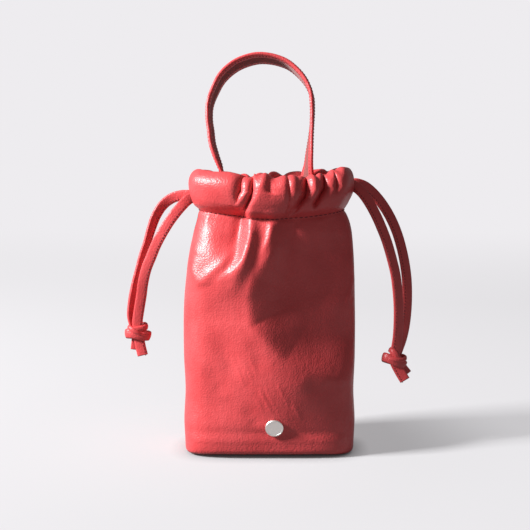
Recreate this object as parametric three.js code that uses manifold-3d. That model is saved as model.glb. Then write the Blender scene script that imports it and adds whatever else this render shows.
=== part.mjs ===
// A small drawstring pouch in soft leather: two panels with a gathered casing, a strap handle,
// two drawstrings and a stud. Millimetres, +Z up, the front faces -Y, and the origin is on the
// floor under the middle of the base.
import * as THREE from "three";
import { mergeVertices } from "three/addons/utils/BufferGeometryUtils.js";
import Module from "manifold-3d";

// Driving dimensions: the panels
const bodyWidth = 130; // outside, across the belly
const bodyDepth = 80; // outside, front to back across the belly
const seamHeight = 184; // floor to the stitch line of the casing, at the sides
const seamSag = 4.5; // how much lower the stitch line lies at mid-front and mid-back
const casingHeight = 35; // stitch line to the top of the folded edge
const casingDepth = 50; // front casing's middle to the back casing's middle
const casingShift = 3; // how far the gathered mouth leans to the right
const leather = 1.4; // thickness of the leather
const baseEdge = 8; // radius of the soft bottom edge
const cornerTuck = 6; // how far the boxed corners shorten the bottom seam
const seamGap = 0.3; // clearance between the two panels along their seams
const slitGap = 9; // opening between the two casings at each side
const slitRise = 6.3; // height of the pointed foot of that opening
const puffOut = 7.5; // how far the casing's outer layer stands off the drawstrings
const puffIn = 3; // how far its inner layer does
const rimDip = 3.2; // how much a gather's valley lowers the folded edge

// The drawstrings: a folded strip, sewn along one edge
const cordWidth = 6.6;
const cordThickness = 2.4;
const cordEase = 0.6; // how far its corners are eased
const cordClearance = 0.8; // to the leather on each side, inside the casing
const lowCordRise = 10; // stitch line at the sides to the left drawstring's run in the casing
const highCordRise = 19; // the same, to the right drawstring's run
const cordTurn = 2.5; // how far a drawstring's closed end stands out of the far slit
const knotWidth = 18;
const knotHeight = 13;
const knotFlatness = 0.62; // depth of a knot over its width

// The handle: a folded strap
const handleWidth = 18;
const handleThickness = 2.8;
const handleEase = 0.8; // how far its corners are eased
const handleSpan = 82.5; // between the middles of its legs, at its widest
const handleLean = -6.6; // how far the arch's middle lies to the left of the bag's
const handleRise = 117.8; // stitch line at the sides to its highest point
const handleDrop = 32; // the same line down to its ends, sewn to the back panel's inside
const handleRootSpan = 58; // between the middles of its sewn ends
const handleTip = 24; // degrees that its back edge drops at the top
const sewnGap = 0.3; // clearance between the strap and the leather that it lies against

// The stud: a disc with a post, riveted over a washer inside the bag
const studDiameter = 13.6;
const studThickness = 1.8;
const studBevel = 0.6; // round the front of its edge
const studRim = 1.3; // width of the raised rim round its face
const studDish = 0.15; // how deep the face lies inside that rim
const studAcross = 3.5; // from the bag's middle to its right
const studHeight = 25; // floor to its middle
const postDiameter = 3;
const washerDiameter = 9;
const washerThickness = 1;
const washerEase = 0.2; // how far its outer edges are eased
const fitGap = 0.3; // clearance round the post, and under the disc and the washer
const studBite = 0.35; // how deep the disc and the washer press into the leather

// Mesh fineness
const frontColumns = 26;
const backColumns = 22;
const outlineSamples = 72;
const handleSteps = 58;
const cordSteps = 72;
const knotSides = 14;
const studSides = 28;
const washerSides = 24;
const weld = 1e-4; // mm within which two vertices are one

// Shape of the body, from the bottom edge (at 0) to the stitch line (at 1) and on into the casing:
// width and depth over those of the belly, and how square the outline is (2 is an ellipse). The
// casing goes straight up, so that the drawstrings lie flat in it.
const casingShare = (casingDepth + 2 * leather) / bodyDepth;
const stations = [
  { at: 0.0, wide: 0.988, deep: 0.74, square: 4.2 },
  { at: 0.1, wide: 1.0, deep: 0.87, square: 3.9 },
  { at: 0.23, wide: 0.984, deep: 0.965, square: 3.5 },
  { at: 0.38, wide: 1.0, deep: 1.0, square: 3.2 },
  { at: 0.58, wide: 0.997, deep: 0.975, square: 3.0 },
  { at: 0.76, wide: 0.966, deep: 0.87, square: 2.8 },
  { at: 0.9, wide: 0.918, deep: 0.755, square: 2.4 },
  { at: 0.98, wide: 0.872, deep: casingShare, square: 2.0 },
  { at: 1.04, wide: 0.868, deep: casingShare, square: 1.95 },
  { at: 1.3, wide: 0.86, deep: casingShare, square: 1.95 },
];

// Gathers of a casing, as the valleys between its puffed folds. A line's points are [across, up]:
// across is -1 at the left side of the bag and 1 at the right, and up is 0 on the stitch line and
// 1 on the folded edge. depth is 1 where the leather is drawn right in to the drawstrings.
const frontGathers = [
  { line: [[-0.353, 1.05], [-0.372, 0.66], [-0.388, 0.4]], width: 4.6, depth: 0.95, fade: 0.6 },
  { line: [[-0.16, 1.05], [-0.241, 0.51], [-0.325, 0.06]], width: 3.6, depth: 0.9, fade: 0.25 },
  { line: [[0.004, 1.1], [0.018, 0.8], [0.03, 0.56]], width: 4.4, depth: 1, fade: 0.5 },
  { line: [[0.196, 1.05], [0.203, 0.5], [0.19, 0.08]], width: 1.9, depth: 0.55, fade: 0.5 },
  { line: [[0.41, 1.05], [0.43, 0.68], [0.375, 0.4], [0.22, 0.03]], width: 3.7, depth: 1, fade: 0.2 },
  { line: [[0.53, 1.05], [0.552, 0.6]], width: 2.5, depth: 0.75, fade: 0.7 },
  { line: [[0.64, 1.05], [0.585, 0.52], [0.49, 0.16]], width: 3.0, depth: 0.85, fade: 0.4 },
  { line: [[0.722, 1.0], [0.682, 0.5], [0.625, 0.2]], width: 2.4, depth: 0.5, fade: 0.5 },
];
const backGathers = [
  { line: [[-0.6, 1.05], [-0.585, 0.6], [-0.56, 0.25]], width: 3.2, depth: 0.6, fade: 0.6 },
  { line: [[-0.2, 1.1], [-0.23, 0.55], [-0.27, 0.05]], width: 4.0, depth: 0.95, fade: 0.3 },
  { line: [[-0.03, 1.05], [-0.015, 0.5], [-0.03, 0.1]], width: 3.0, depth: 0.75, fade: 0.4 },
  { line: [[0.15, 1.1], [0.16, 0.6], [0.2, 0.06]], width: 4.2, depth: 0.95, fade: 0.3 },
  { line: [[0.68, 1.05], [0.66, 0.5], [0.6, 0.15]], width: 3.4, depth: 0.7, fade: 0.5 },
];

// Folds of the panels below the casing: height is in mm, over the surface or, below 0, into it,
// and up goes on below the stitch line in casing heights.
const frontFolds = [
  { line: [[-0.325, 0.06], [-0.37, -0.45], [-0.45, -1.05]], width: 5, height: -4, fade: 0.7 },
  {
    line: [[-0.208, 0.03], [-0.23, -0.45], [-0.297, -0.96], [-0.42, -1.4], [-0.62, -1.7]],
    width: 5.5,
    height: 3.4,
    fade: 0.7,
  },
  { line: [[-0.488, -0.3], [-0.53, -1.0]], width: 10, height: -4.6, fade: 0.8 },
  { line: [[-0.72, 0.05], [-0.77, -0.45], [-0.84, -1.1]], width: 6, height: 1.8, fade: 0.7 },
  { line: [[0.05, 0.0], [0.0, -1.2], [-0.09, -2.6]], width: 8, height: 2.6, fade: 0.8 },
  { line: [[0.2, 0.02], [0.21, -0.9], [0.13, -2.6]], width: 8, height: -4.6, fade: 0.8 },
  { line: [[0.52, -0.3], [0.6, -1.3]], width: 13, height: 2.6, fade: 0.8 },
];
const backFolds = [
  { line: [[-0.27, 0.03], [-0.3, -0.7], [-0.4, -1.5]], width: 6, height: -3.6, fade: 0.8 },
  { line: [[-0.03, 0.0], [-0.05, -1.2]], width: 9, height: 2.8, fade: 0.8 },
  { line: [[0.2, 0.03], [0.26, -0.8], [0.4, -1.9]], width: 7, height: -3.8, fade: 0.8 },
  { line: [[0.6, 0.05], [0.62, -1.0]], width: 9, height: 2.2, fade: 0.8 },
];

// The upper right of the front falls away from the belly: to the right of this line and above it,
// over reach mm, until it lies depth mm further in. It dies out between the two ups of fade.
const frontHollow = {
  line: [
    [0.1, 0.3], [0.06, -0.5], [-0.086, -0.8], [-0.21, -1.16], [-0.28, -1.65], [-0.24, -2.27],
    [-0.108, -2.51], [0.16, -3.01], [0.7, -3.5], [1.1, -3.7],
  ],
  reach: 26,
  depth: 13,
  fade: [-1.0, 0.0],
};

const wasm = await Module();
wasm.setup();

const smooth = (from, to, x) => THREE.MathUtils.smoothstep(x, from, to);

// A value of the stations at a share of the way up, on a curve that passes through each of them.
function shape(at, key) {
  const last = stations.length - 1;
  let i = 0;
  while (i < last - 1 && stations[i + 1].at < at) i += 1;
  const [p, q] = [stations[i], stations[i + 1]];
  const before = stations[Math.max(0, i - 1)];
  const after = stations[Math.min(last, i + 2)];
  const span = q.at - p.at;
  const t = THREE.MathUtils.clamp((at - p.at) / span, 0, 1);
  const leave = ((q[key] - before[key]) / (q.at - before.at)) * span;
  const arrive = ((after[key] - p[key]) / (after.at - p.at)) * span;
  const [t2, t3] = [t * t, t * t * t];
  return (
    p[key] * (2 * t3 - 3 * t2 + 1) +
    leave * (t3 - 2 * t2 + t) +
    q[key] * (3 * t2 - 2 * t3) +
    arrive * (t3 - t2)
  );
}

// The outline's front half at a height: half an ellipse made squarer or more pointed, walked by
// its own length from the left side (u = 0) to the right (u = 1), less some mm at each end.
function outlinePoint(halfWidth, halfDepth, square, u, skip = 0) {
  const samples = outlineSamples;
  const power = 2 / square;
  let [x, y] = [-halfWidth, 0];
  const points = [[x, y, 0]];
  for (let i = 1; i <= samples; i += 1) {
    const angle = (Math.PI * i) / samples;
    const [c, s] = [Math.cos(angle), Math.sin(angle)];
    const nextX = -halfWidth * Math.sign(c) * Math.abs(c) ** power;
    const nextY = -halfDepth * Math.abs(s) ** power;
    const walked = points[i - 1][2] + Math.hypot(nextX - x, nextY - y);
    points.push([nextX, nextY, walked]);
    [x, y] = [nextX, nextY];
  }
  const target = skip + THREE.MathUtils.clamp(u, 0, 1) * (points[samples][2] - 2 * skip);
  let i = 1;
  while (i < samples && points[i][2] < target) i += 1;
  const [p, q] = [points[i - 1], points[i]];
  const t = (target - p[2]) / (q[2] - p[2]);
  return [p[0] + (q[0] - p[0]) * t, p[1] + (q[1] - p[1]) * t];
}

// How near a place is to a line of the fold map in mm, how far along the line from 0 to 1, and
// on which side of it: above 0 on the left of someone who walks along it.
function nearLine(line, across, up) {
  const [x, z] = [(across * bodyWidth) / 2, up * casingHeight];
  let best = { far: Infinity, along: 0, side: 0 };
  const steps = line.length - 1;
  for (let i = 0; i < steps; i += 1) {
    const [ax, az] = [(line[i][0] * bodyWidth) / 2, line[i][1] * casingHeight];
    const [bx, bz] = [(line[i + 1][0] * bodyWidth) / 2, line[i + 1][1] * casingHeight];
    const [dx, dz] = [bx - ax, bz - az];
    const t = THREE.MathUtils.clamp(
      ((x - ax) * dx + (z - az) * dz) / (dx ** 2 + dz ** 2),
      0,
      1,
    );
    const far = Math.hypot(x - ax - dx * t, z - az - dz * t);
    const side = dx * (z - az) - dz * (x - ax);
    if (far < best.far) best = { far, along: (i + t) / steps, side };
  }
  return best;
}

// How much a fold shows at a place, from 0 to 1. It fades over the last share of its line.
function foldShare(fold, across, up) {
  const { far, along } = nearLine(fold.line, across, up);
  return Math.exp(-((far / fold.width) ** 2)) * (1 - smooth(1 - fold.fade, 1.05, along));
}

// How far a casing is drawn in at a place, from 0 on a puffed fold to 1 in a valley.
function drawnIn(gathers, across, up) {
  return gathers.reduce((left, g) => left * (1 - g.depth * foldShare(g, across, up)), 1);
}

// The height in mm of the folds under the casing at a place.
function foldHeight(folds, across, up) {
  return folds.reduce((sum, f) => sum + f.height * foldShare(f, across, up), 0);
}

// How far in mm a panel's hollow lies in at a place. facing is 1 where the panel faces straight
// front or back, and less where it turns to the side: there the hollow ends.
const hollowTurn = [0.2, 0.8];
function hollowDepth({ line, reach, depth, fade }, { across, up, outY }) {
  const { far, side } = nearLine(line, across, up);
  const fallen = side > 0 ? 1 - Math.exp(-((far / reach) ** 2)) : 0;
  return depth * fallen * (1 - smooth(...fade, up)) * smooth(...hollowTurn, Math.abs(outY));
}

// The stitch line hangs in a flat curve between the two side seams.
const sagPower = 1.5;
const stitchHeight = (u) => seamHeight - seamSag * Math.sin(Math.PI * u) ** sagPower;

// The mouth leans over between these two places on the fold map.
const [leanStart, leanEnd] = [-2.2, 0.2];

const front = {
  side: -1,
  gathers: frontGathers,
  folds: frontFolds,
  hollows: [frontHollow],
  columns: frontColumns,
};
const back = {
  side: 1,
  gathers: backGathers,
  folds: backFolds,
  hollows: [],
  columns: backColumns,
};

// The panel's line at a height: its point, the way out of it, and its place on the fold map. It is
// the leather's inner face in the body, and the middle of the channel in the casing.
function middle(panel, u, z, inset = 0) {
  const share = (z - baseEdge) / (seamHeight - baseEdge);
  const halfWidth = (shape(share, "wide") * bodyWidth) / 2 - leather - inset;
  const halfDepth = (shape(share, "deep") * bodyDepth) / 2 - leather - inset;
  const square = shape(share, "square");
  const overStitch = z - stitchHeight(u);
  const skip = (slitGap / 2) * smooth(0, slitRise, overStitch);
  const spot = (place) => outlinePoint(halfWidth, halfDepth, square, place, skip);
  const step = 0.006;
  const [x, y] = spot(u);
  const [x0, y0] = spot(u - step);
  const [x1, y1] = spot(u + step);
  const length = Math.hypot(x1 - x0, y1 - y0);
  const up = overStitch / casingHeight;
  const lean = casingShift * smooth(leanStart, leanEnd, up);
  return {
    x: x + lean,
    y: y - seamGap / 2,
    outX: (y1 - y0) / length,
    outY: -(x1 - x0) / length,
    across: (x + lean) / (bodyWidth / 2),
    up,
    side: panel.side,
  };
}

// A point off the middle line by some mm, on the front or turned over to the back.
function offMiddle(m, off, z) {
  return new THREE.Vector3(m.x + m.outX * off, -m.side * (m.y + m.outY * off), z);
}

// Rows of the bottom: flat from the seam under the base to the edge, then round the edge.
function basePoint(panel, u, reach, inside) {
  const halfDepth = (shape(0, "deep") * bodyDepth) / 2 - baseEdge;
  const halfWidth = (shape(0, "wide") * bodyWidth) / 2 - baseEdge;
  const [x, y] = outlinePoint(
    halfWidth - cornerTuck * (1 - reach),
    Math.max(halfDepth * reach, 0.001),
    shape(0, "square"),
    u,
  );
  return new THREE.Vector3(x, -panel.side * (y - seamGap / 2), inside ? leather : 0);
}

function edgePoint(panel, u, angle, inside) {
  const reach = inside ? baseEdge - leather : baseEdge;
  const m = middle(panel, u, baseEdge, baseEdge - leather - reach * Math.sin(angle));
  return offMiddle(m, 0, baseEdge - reach * Math.cos(angle));
}

// The folds die out towards the side seams.
const seamFade = 0.4;

function wallPoint(panel, u, share, inside) {
  const z = baseEdge + share * (stitchHeight(u) - baseEdge);
  const m = middle(panel, u, z);
  const rise = foldHeight(panel.folds, m.across, m.up) * Math.sin(Math.PI * u) ** seamFade;
  const fall = panel.hollows.reduce((sum, hollow) => sum + hollowDepth(hollow, m), 0);
  return offMiddle(m, (inside ? 0 : leather) + rise - fall, z);
}

// The casing's layers stand off the drawstrings between the stitch line and the folded edge.
// These are shares of the casing's height, from the stitch line up.
const channelFoot = [0.02, 0.17]; // where the channel opens out over the stitches
const foldEnd = 0.28; // where the folds of the body have died out
const puffFull = 0.6; // where the puffs stand out in full
const rollStart = 0.86; // where the folded edge starts to turn over
const cordRoom = cordThickness / 2 + cordClearance; // half the inside of the casing, drawn in

// The puffs are lower at the slits: by this share, and from this place across to that one.
const slitPuff = 0.35;
const slitPuffSpan = [0.9, 0.72];

// How far the handle's strap holds the back casing's inner layer flat, from 0 to 1.
const flatSpan = [1, 6]; // mm beside the strap over which its hold dies out
function heldFlat(panel, m) {
  if (panel.side < 0) return 0;
  const fromRoot = Math.abs(Math.abs((m.across * bodyWidth) / 2) - handleRootSpan / 2);
  return 1 - smooth(...flatSpan, fromRoot - handleWidth / 2);
}

// How far a casing's outer or inner layer lies off the middle of the channel.
function casingLevel(panel, m, outer) {
  const open = Math.sin((Math.PI / 2) * THREE.MathUtils.clamp(m.up / puffFull, 0, 1));
  const [low, high] = slitPuffSpan;
  const ends = slitPuff + (1 - slitPuff) * smooth(0, low - high, low - Math.abs(m.across));
  const full = drawnIn(panel.gathers, m.across, m.up);
  const room = cordRoom * smooth(...channelFoot, m.up) + leather;
  const fold = foldHeight(panel.folds, m.across, Math.min(m.up, channelFoot[0]));
  const kept = (1 - smooth(0, foldEnd, m.up)) * fold;
  return outer
    ? kept + room + puffOut * open * full * ends
    : kept - room - puffIn * open * full * ends * (1 - heldFlat(panel, m));
}

// Stitch line to folded edge at some place: a gather's valley lowers the edge.
function rimHeight(panel, u) {
  const m = middle(panel, u, stitchHeight(u) + casingHeight);
  return casingHeight - rimDip * (1 - drawnIn(panel.gathers, m.across, 1));
}

function casingPoint(panel, u, up, outer, inside) {
  const z = stitchHeight(u) + up * rimHeight(panel, u);
  const m = middle(panel, u, z);
  const wall = inside ? leather * (outer ? -1 : 1) : 0;
  return offMiddle(m, casingLevel(panel, m, outer) + wall, z);
}

function rimPoint(panel, u, angle, inside) {
  const rim = rimHeight(panel, u);
  const z = stitchHeight(u) + rollStart * rim;
  const m = middle(panel, u, z);
  const [outerLevel, innerLevel] = [casingLevel(panel, m, true), casingLevel(panel, m, false)];
  const half = (outerLevel - innerLevel) / 2 - (inside ? leather : 0);
  const height = (1 - rollStart) * rim - (inside ? leather : 0);
  const off = (outerLevel + innerLevel) / 2 + half * Math.cos(angle);
  return offMiddle(m, off, z + height * Math.sin(angle));
}

// The rows of a panel in order, up its outside, over the folded edge and down its inside, and the
// rows of the channel in its casing. A coarse row has one column for two of a fine one.
const baseReaches = [0, 0.5, 1];
const edgeAngles = [1, 2, 3].map((i) => (Math.PI / 6) * i);
const wallShares = [0.09, 0.2, 0.32, 0.44, 0.55, 0.65, 0.74, 0.82, 0.9, 0.96];
const casingUps = [0, 0.12, 0.3, 0.5, 0.68, rollStart];
const rimAngles = [1, 2, 3].map((i) => (Math.PI / 4) * i);

function panelRows(panel) {
  const body = (inside) => [
    ...baseReaches.map((r) => (u) => basePoint(panel, u, r, inside)),
    ...edgeAngles.map((a) => (u) => edgePoint(panel, u, a, inside)),
    ...wallShares.map((s) => (u) => wallPoint(panel, u, s, inside)),
  ];
  const casing = (inside) => {
    const ups = inside ? casingUps.slice(1) : casingUps;
    return [
      ...ups.map((v) => (u) => casingPoint(panel, u, v, true, inside)),
      ...rimAngles.map((a) => (u) => rimPoint(panel, u, a, inside)),
      ...ups.toReversed().map((v) => (u) => casingPoint(panel, u, v, false, inside)),
    ];
  };
  const [outside, inside] = [body(false), body(true).reverse()];
  return { outside, casing: casing(false), inside, channel: casing(true), bodyRows: outside.length };
}

// Columns stand closer together in the middle, where the gathers are.
const crowd = 0.25;
const columnPlace = (i, n) => i / n + (crowd * Math.sin((2 * Math.PI * i) / n)) / (2 * Math.PI);

function panelGeometry(panel) {
  const rows = panelRows(panel);
  const vertices = [];
  const triangles = [];
  const place = (row, columns) =>
    Array.from({ length: columns + 1 }, (_, i) => {
      vertices.push(row(columnPlace(i, columns)));
      return vertices.length - 1;
    });
  const coarse = (list) => list.map((row) => place(row, panel.columns));
  const fine = (list) => list.map((row) => place(row, panel.columns * 2));
  const loop = [...coarse(rows.outside), ...fine(rows.casing), ...coarse(rows.inside)];
  const channel = fine(rows.channel);
  const face = (...corners) => {
    for (let i = 2; i < corners.length; i += 1) {
      triangles.push([corners[0], corners[i - 1], corners[i]]);
    }
  };
  // A strip between two rows, which may have one column for two of the other.
  const strip = (low, high, turned) => {
    const add = (...c) => face(...(turned ? c.reverse() : c));
    const cells = Math.min(low.length, high.length) - 1;
    for (let i = 0; i < cells; i += 1) {
      if (low.length === high.length) add(low[i], low[i + 1], high[i + 1], high[i]);
      else if (low.length < high.length) {
        add(low[i], low[i + 1], high[2 * i + 1]);
        add(low[i], high[2 * i + 1], high[2 * i]);
        add(low[i + 1], high[2 * i + 2], high[2 * i + 1]);
      } else {
        add(low[2 * i], low[2 * i + 1], high[i]);
        add(low[2 * i + 1], low[2 * i + 2], high[i + 1]);
        add(low[2 * i + 1], high[i + 1], high[i]);
      }
    }
  };
  loop.forEach((row, i) => strip(row, loop[(i + 1) % loop.length], false));
  channel.forEach((row, i) => strip(row, channel[(i + 1) % channel.length], true));
  // The cut edges at the two side seams, and round the casing's open ends.
  for (const end of [0, -1]) {
    const at = (row) => row.at(end);
    const add = (...c) => face(...(end ? c.map(at).reverse() : c.map(at)));
    const n = rows.bodyRows;
    const last = loop.length - 1;
    for (let i = 0; i < n; i += 1) add(loop[i], loop[i + 1], loop[last - i - 1], loop[last - i]);
    for (let k = 0; k < channel.length - 1; k += 1) {
      add(loop[n + 1 + k], loop[n + 2 + k], channel[k + 1], channel[k]);
    }
    add(loop[n], loop[n + 1], channel[0]);
    add(loop[n], channel[0], channel.at(-1), loop[last - n]);
    add(channel.at(-1), loop[last - n - 1], loop[last - n]);
  }
  const geometry = new THREE.BufferGeometry().setFromPoints(vertices);
  geometry.setIndex(triangles.flatMap((t) => (panel.side < 0 ? t : t.toReversed())));
  return geometry;
}

// Joining and cutting of closed meshes.
function solid(geometry) {
  const bare = geometry.clone();
  bare.deleteAttribute("normal");
  bare.deleteAttribute("uv");
  const merged = mergeVertices(bare, weld);
  return new wasm.Manifold(
    new wasm.Mesh({
      numProp: 3,
      vertProperties: merged.getAttribute("position").array,
      triVerts: new Uint32Array(merged.index.array),
    }),
  );
}

function geometryOf(manifold) {
  const mesh = manifold.getMesh();
  const geometry = new THREE.BufferGeometry();
  geometry.setAttribute("position", new THREE.BufferAttribute(mesh.vertProperties, 3));
  geometry.setIndex(new THREE.BufferAttribute(mesh.triVerts, 1));
  return geometry;
}

// A flat section with eased corners, thick along x and wide along y.
function stripSection(width, thickness, ease) {
  const [x, y] = [thickness / 2, width / 2];
  return new THREE.Shape(
    [
      [x, -y + ease], [x, y - ease], [x - ease, y], [-x + ease, y],
      [-x, y - ease], [-x, -y + ease], [-x + ease, -y], [x - ease, -y],
    ].map(([px, py]) => new THREE.Vector2(px, py)),
  );
}

// The drawstrings. A route that keeps its steps even between its points, so that close points
// make fine steps.
class Route extends THREE.CatmullRomCurve3 {
  getUtoTmapping(u) {
    return u;
  }
}

// Each side's two strands, from the knot's tails to the slits: [x, y, z].
const leftFrontStrand = [
  [-96.4, -3.4, 73], [-98.2, -2.6, 80.5], [-99.8, -1.9, 90], [-100.2, -1.9, 98.6],
  [-98.7, -2.3, 108.5], [-96.8, -3, 119.2], [-95.3, -4, 129.1], [-92.6, -5, 139.8],
  [-88.8, -6, 149], [-85, -6.8, 158.1], [-80.5, -7.3, 166.5], [-75.4, -7.4, 174.8],
  [-70.6, -6.8, 181.4], [-66, -5.4, 186.8], [-61.3, -3.4, 191.4], [-56.6, -2.2, 193.8],
  [-53, -3.7, 194],
];
const leftBackStrand = [
  [-102.2, 1.6, 76.5], [-101.4, 1.7, 83], [-101.2, 1.7, 90], [-103.4, 1.9, 96.5],
  [-105.1, 2.6, 103.9], [-104.3, 3.6, 115.4], [-102.4, 4.6, 126], [-99.4, 5.4, 137.5],
  [-96.4, 6.2, 148.2], [-92.6, 6.8, 158.9], [-89.6, 7.2, 168.8], [-85.8, 7.3, 178.7],
  [-80.6, 7.1, 186.6], [-74, 6.2, 191.8], [-67, 4.4, 194.2], [-61, 2.8, 194.6],
  [-56.6, 2.3, 194.3], [-53, 3.8, 194],
];
const rightFrontStrand = [
  [103.4, -3.4, 53.6], [99.2, -2.6, 60.6], [95.4, -1.9, 69], [96.2, -1.9, 78.7],
  [96.8, -2.4, 87.9], [96.8, -3.2, 98.6], [96.4, -4.2, 110.8], [95.3, -5.2, 123],
  [93.4, -6.2, 136], [90.3, -7, 148.2], [86.6, -7.5, 160.4], [82.4, -7.7, 171.1],
  [78, -7.4, 181.2], [73.4, -6.4, 190.4], [68.4, -4.4, 198.2], [63, -2.4, 202.6],
  [59, -3.7, 203],
];
const rightBackStrand = [
  [105.4, 2.6, 57.2], [101.2, 2, 62.6], [96.4, 1.9, 69.4], [98.2, 1.9, 76.6],
  [100.6, 2.2, 85], [102.6, 3, 94.7], [104, 4, 106.2], [104.5, 5, 118.4],
  [104.1, 5.8, 130.6], [102.4, 6.4, 142.8], [99.8, 6.8, 155.1], [96.4, 7.1, 166.5],
  [91.9, 7.2, 177.2], [86, 7, 187.2], [79, 6.2, 195.6], [72.2, 4.4, 201],
  [66.4, 2.7, 203.2], [62.4, 2.3, 203.4], [59, 3.8, 203],
];

// A drawstring runs from one strand's tail through the casings, past the far slit and back to the
// other strand's tail. sign is 1 where the far slit is the right one.
function drawstringRoute(frontStrand, backStrand, height, sign) {
  const vector = (p) => new THREE.Vector3(...p);
  const places = [0.02, 0.07, 0.14, 0.22, 0.3, 0.38, 0.46, 0.54, 0.62, 0.7, 0.78, 0.86, 0.93, 0.98];
  const run = (panel) =>
    places.map((place) => offMiddle(middle(panel, sign > 0 ? place : 1 - place, height), 0, height));
  const slit = middle(front, sign > 0 ? 1 : 0, height);
  const turn = [-0.8, 0, 0.8].map((over) => {
    const out = sign * cordTurn * (1 - over ** 2);
    return new THREE.Vector3(slit.x + out, (over * slitGap) / 2, height);
  });
  return [
    ...frontStrand.map(vector),
    ...run(front),
    ...turn,
    ...run(back).reverse(),
    ...backStrand.toReversed().map(vector),
  ];
}

// A knot's outer shape: two wraps of the strip, the upper one narrower. A wrap's outline and the
// wraps' sizes and places are shares of the knot's.
const wrapOutline = [[0, -1], [0.72, -1], [0.94, -0.62], [1, 0], [0.94, 0.62], [0.72, 1], [0, 1]];
const wraps = [
  { wide: 1, high: 0.64, rise: -0.16 },
  { wide: 0.86, high: 0.36, rise: 0.31 },
];

function knotSolids(knot) {
  return wraps.map((wrap) => {
    const [r, h] = [(wrap.wide * knotWidth) / 2, (wrap.high * knotHeight) / 2];
    const profile = wrapOutline.map(([x, y]) => new THREE.Vector2(x * r, y * h));
    const ring = new THREE.LatheGeometry(profile, knotSides).rotateX(Math.PI / 2);
    ring.scale(1, knotFlatness, 1).translate(0, 0, wrap.rise * knotHeight);
    return solid(ring.rotateY(knot.tilt).translate(...knot.centre));
  });
}

function drawstringGeometry({ route, knot }) {
  const strip = new THREE.ExtrudeGeometry(stripSection(cordWidth, cordThickness, cordEase), {
    steps: cordSteps,
    extrudePath: new Route(route),
  });
  return geometryOf(knotSolids(knot).reduce((sum, k) => sum.add(k), solid(strip)));
}

// The handle's middle line and the turn of its width, from its left end to its right one. across
// is over half its span, rise goes from 0 at its ends to 1 at its top, back is in mm behind the
// bag's middle, and turn is in degrees from straight front to back. Where back is left out, the
// strap lies against the inside of the back panel, and at a sewn place it lies flat on it.
const handleStations = [
  { sewn: -1, rise: 0 },
  { sewn: -1, rise: 0.055 },
  { sewn: -1, rise: 0.1 },
  { across: -0.55, rise: 0.165, turn: -98 },
  { across: -0.575, rise: 0.234, turn: -80 },
  { across: -0.615, rise: 0.303, turn: -55 },
  { across: -0.675, rise: 0.371, turn: -32 },
  { across: -0.737, rise: 0.44, turn: -15 },
  { across: -0.817, rise: 0.502, back: 2.4, turn: -9 },
  { across: -0.882, rise: 0.564, back: 5.0, turn: -5 },
  { across: -0.909, rise: 0.626, back: 7.8, turn: 0 },
  { across: -0.938, rise: 0.688, back: 10.6, turn: 5 },
  { across: -0.93, rise: 0.757, back: 13.8, turn: 9 },
  { across: -0.85, rise: 0.825, back: 17.0, turn: 10 },
  { across: -0.703, rise: 0.901, back: 20.4, turn: 10 },
  { across: -0.47, rise: 0.959, back: 23.2, turn: 10 },
  { across: -0.204, rise: 0.991, back: 24.6, turn: 10 },
  { across: 0.04, rise: 1, back: 25.0, turn: 10 },
  { across: 0.318, rise: 0.987, back: 24.4, turn: 10 },
  { across: 0.56, rise: 0.955, back: 23.0, turn: 9 },
  { across: 0.79, rise: 0.891, back: 20.4, turn: 8 },
  { across: 0.919, rise: 0.819, back: 17.6, turn: 7 },
  { across: 0.945, rise: 0.743, back: 15.0, turn: 5 },
  { across: 0.935, rise: 0.66, back: 12.4, turn: 2 },
  { across: 0.91, rise: 0.578, back: 10.0, turn: -3 },
  { across: 0.885, rise: 0.502, back: 8.2, turn: -10 },
  { across: 0.873, rise: 0.44, turn: -16 },
  { across: 0.862, rise: 0.371, turn: -33 },
  { across: 0.856, rise: 0.303, turn: -50 },
  { across: 0.86, rise: 0.234, turn: -64 },
  { across: 0.863, rise: 0.165, turn: -72 },
  { sewn: 1, rise: 0.1 },
  { sewn: 1, rise: 0.055 },
  { sewn: 1, rise: 0 },
];

// The place on a panel at some x and height, on a face that lies level(m) off the middle line.
function placeAt(panel, x, z, level) {
  const point = (u) => {
    const m = middle(panel, u, z);
    return offMiddle(m, level(m), z);
  };
  let [low, high] = [0, 1];
  for (let i = 0; i < 24; i += 1) {
    const u = (low + high) / 2;
    if (point(u).x < x) low = u;
    else high = u;
  }
  return point((low + high) / 2);
}

// How deep the back panel's inner face lies at some x and height.
function innerDepth(x, z) {
  const level = (m) =>
    m.up > 0 ? casingLevel(back, m, false) : foldHeight(back.folds, m.across, m.up);
  return placeAt(back, x, z, level).y;
}

// How deep the strap's middle lies where its width, turned so, rests against that face.
function seatDepth(x, z, turn) {
  const [overX, overY] = [Math.sin(turn), Math.cos(turn)].map((v) => (v * handleWidth) / 2);
  const rest = [-1, -0.5, 0, 0.5, 1].map((side) => innerDepth(x + side * overX, z) - side * overY);
  return Math.min(...rest) - sewnGap - handleThickness / 2;
}

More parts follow.
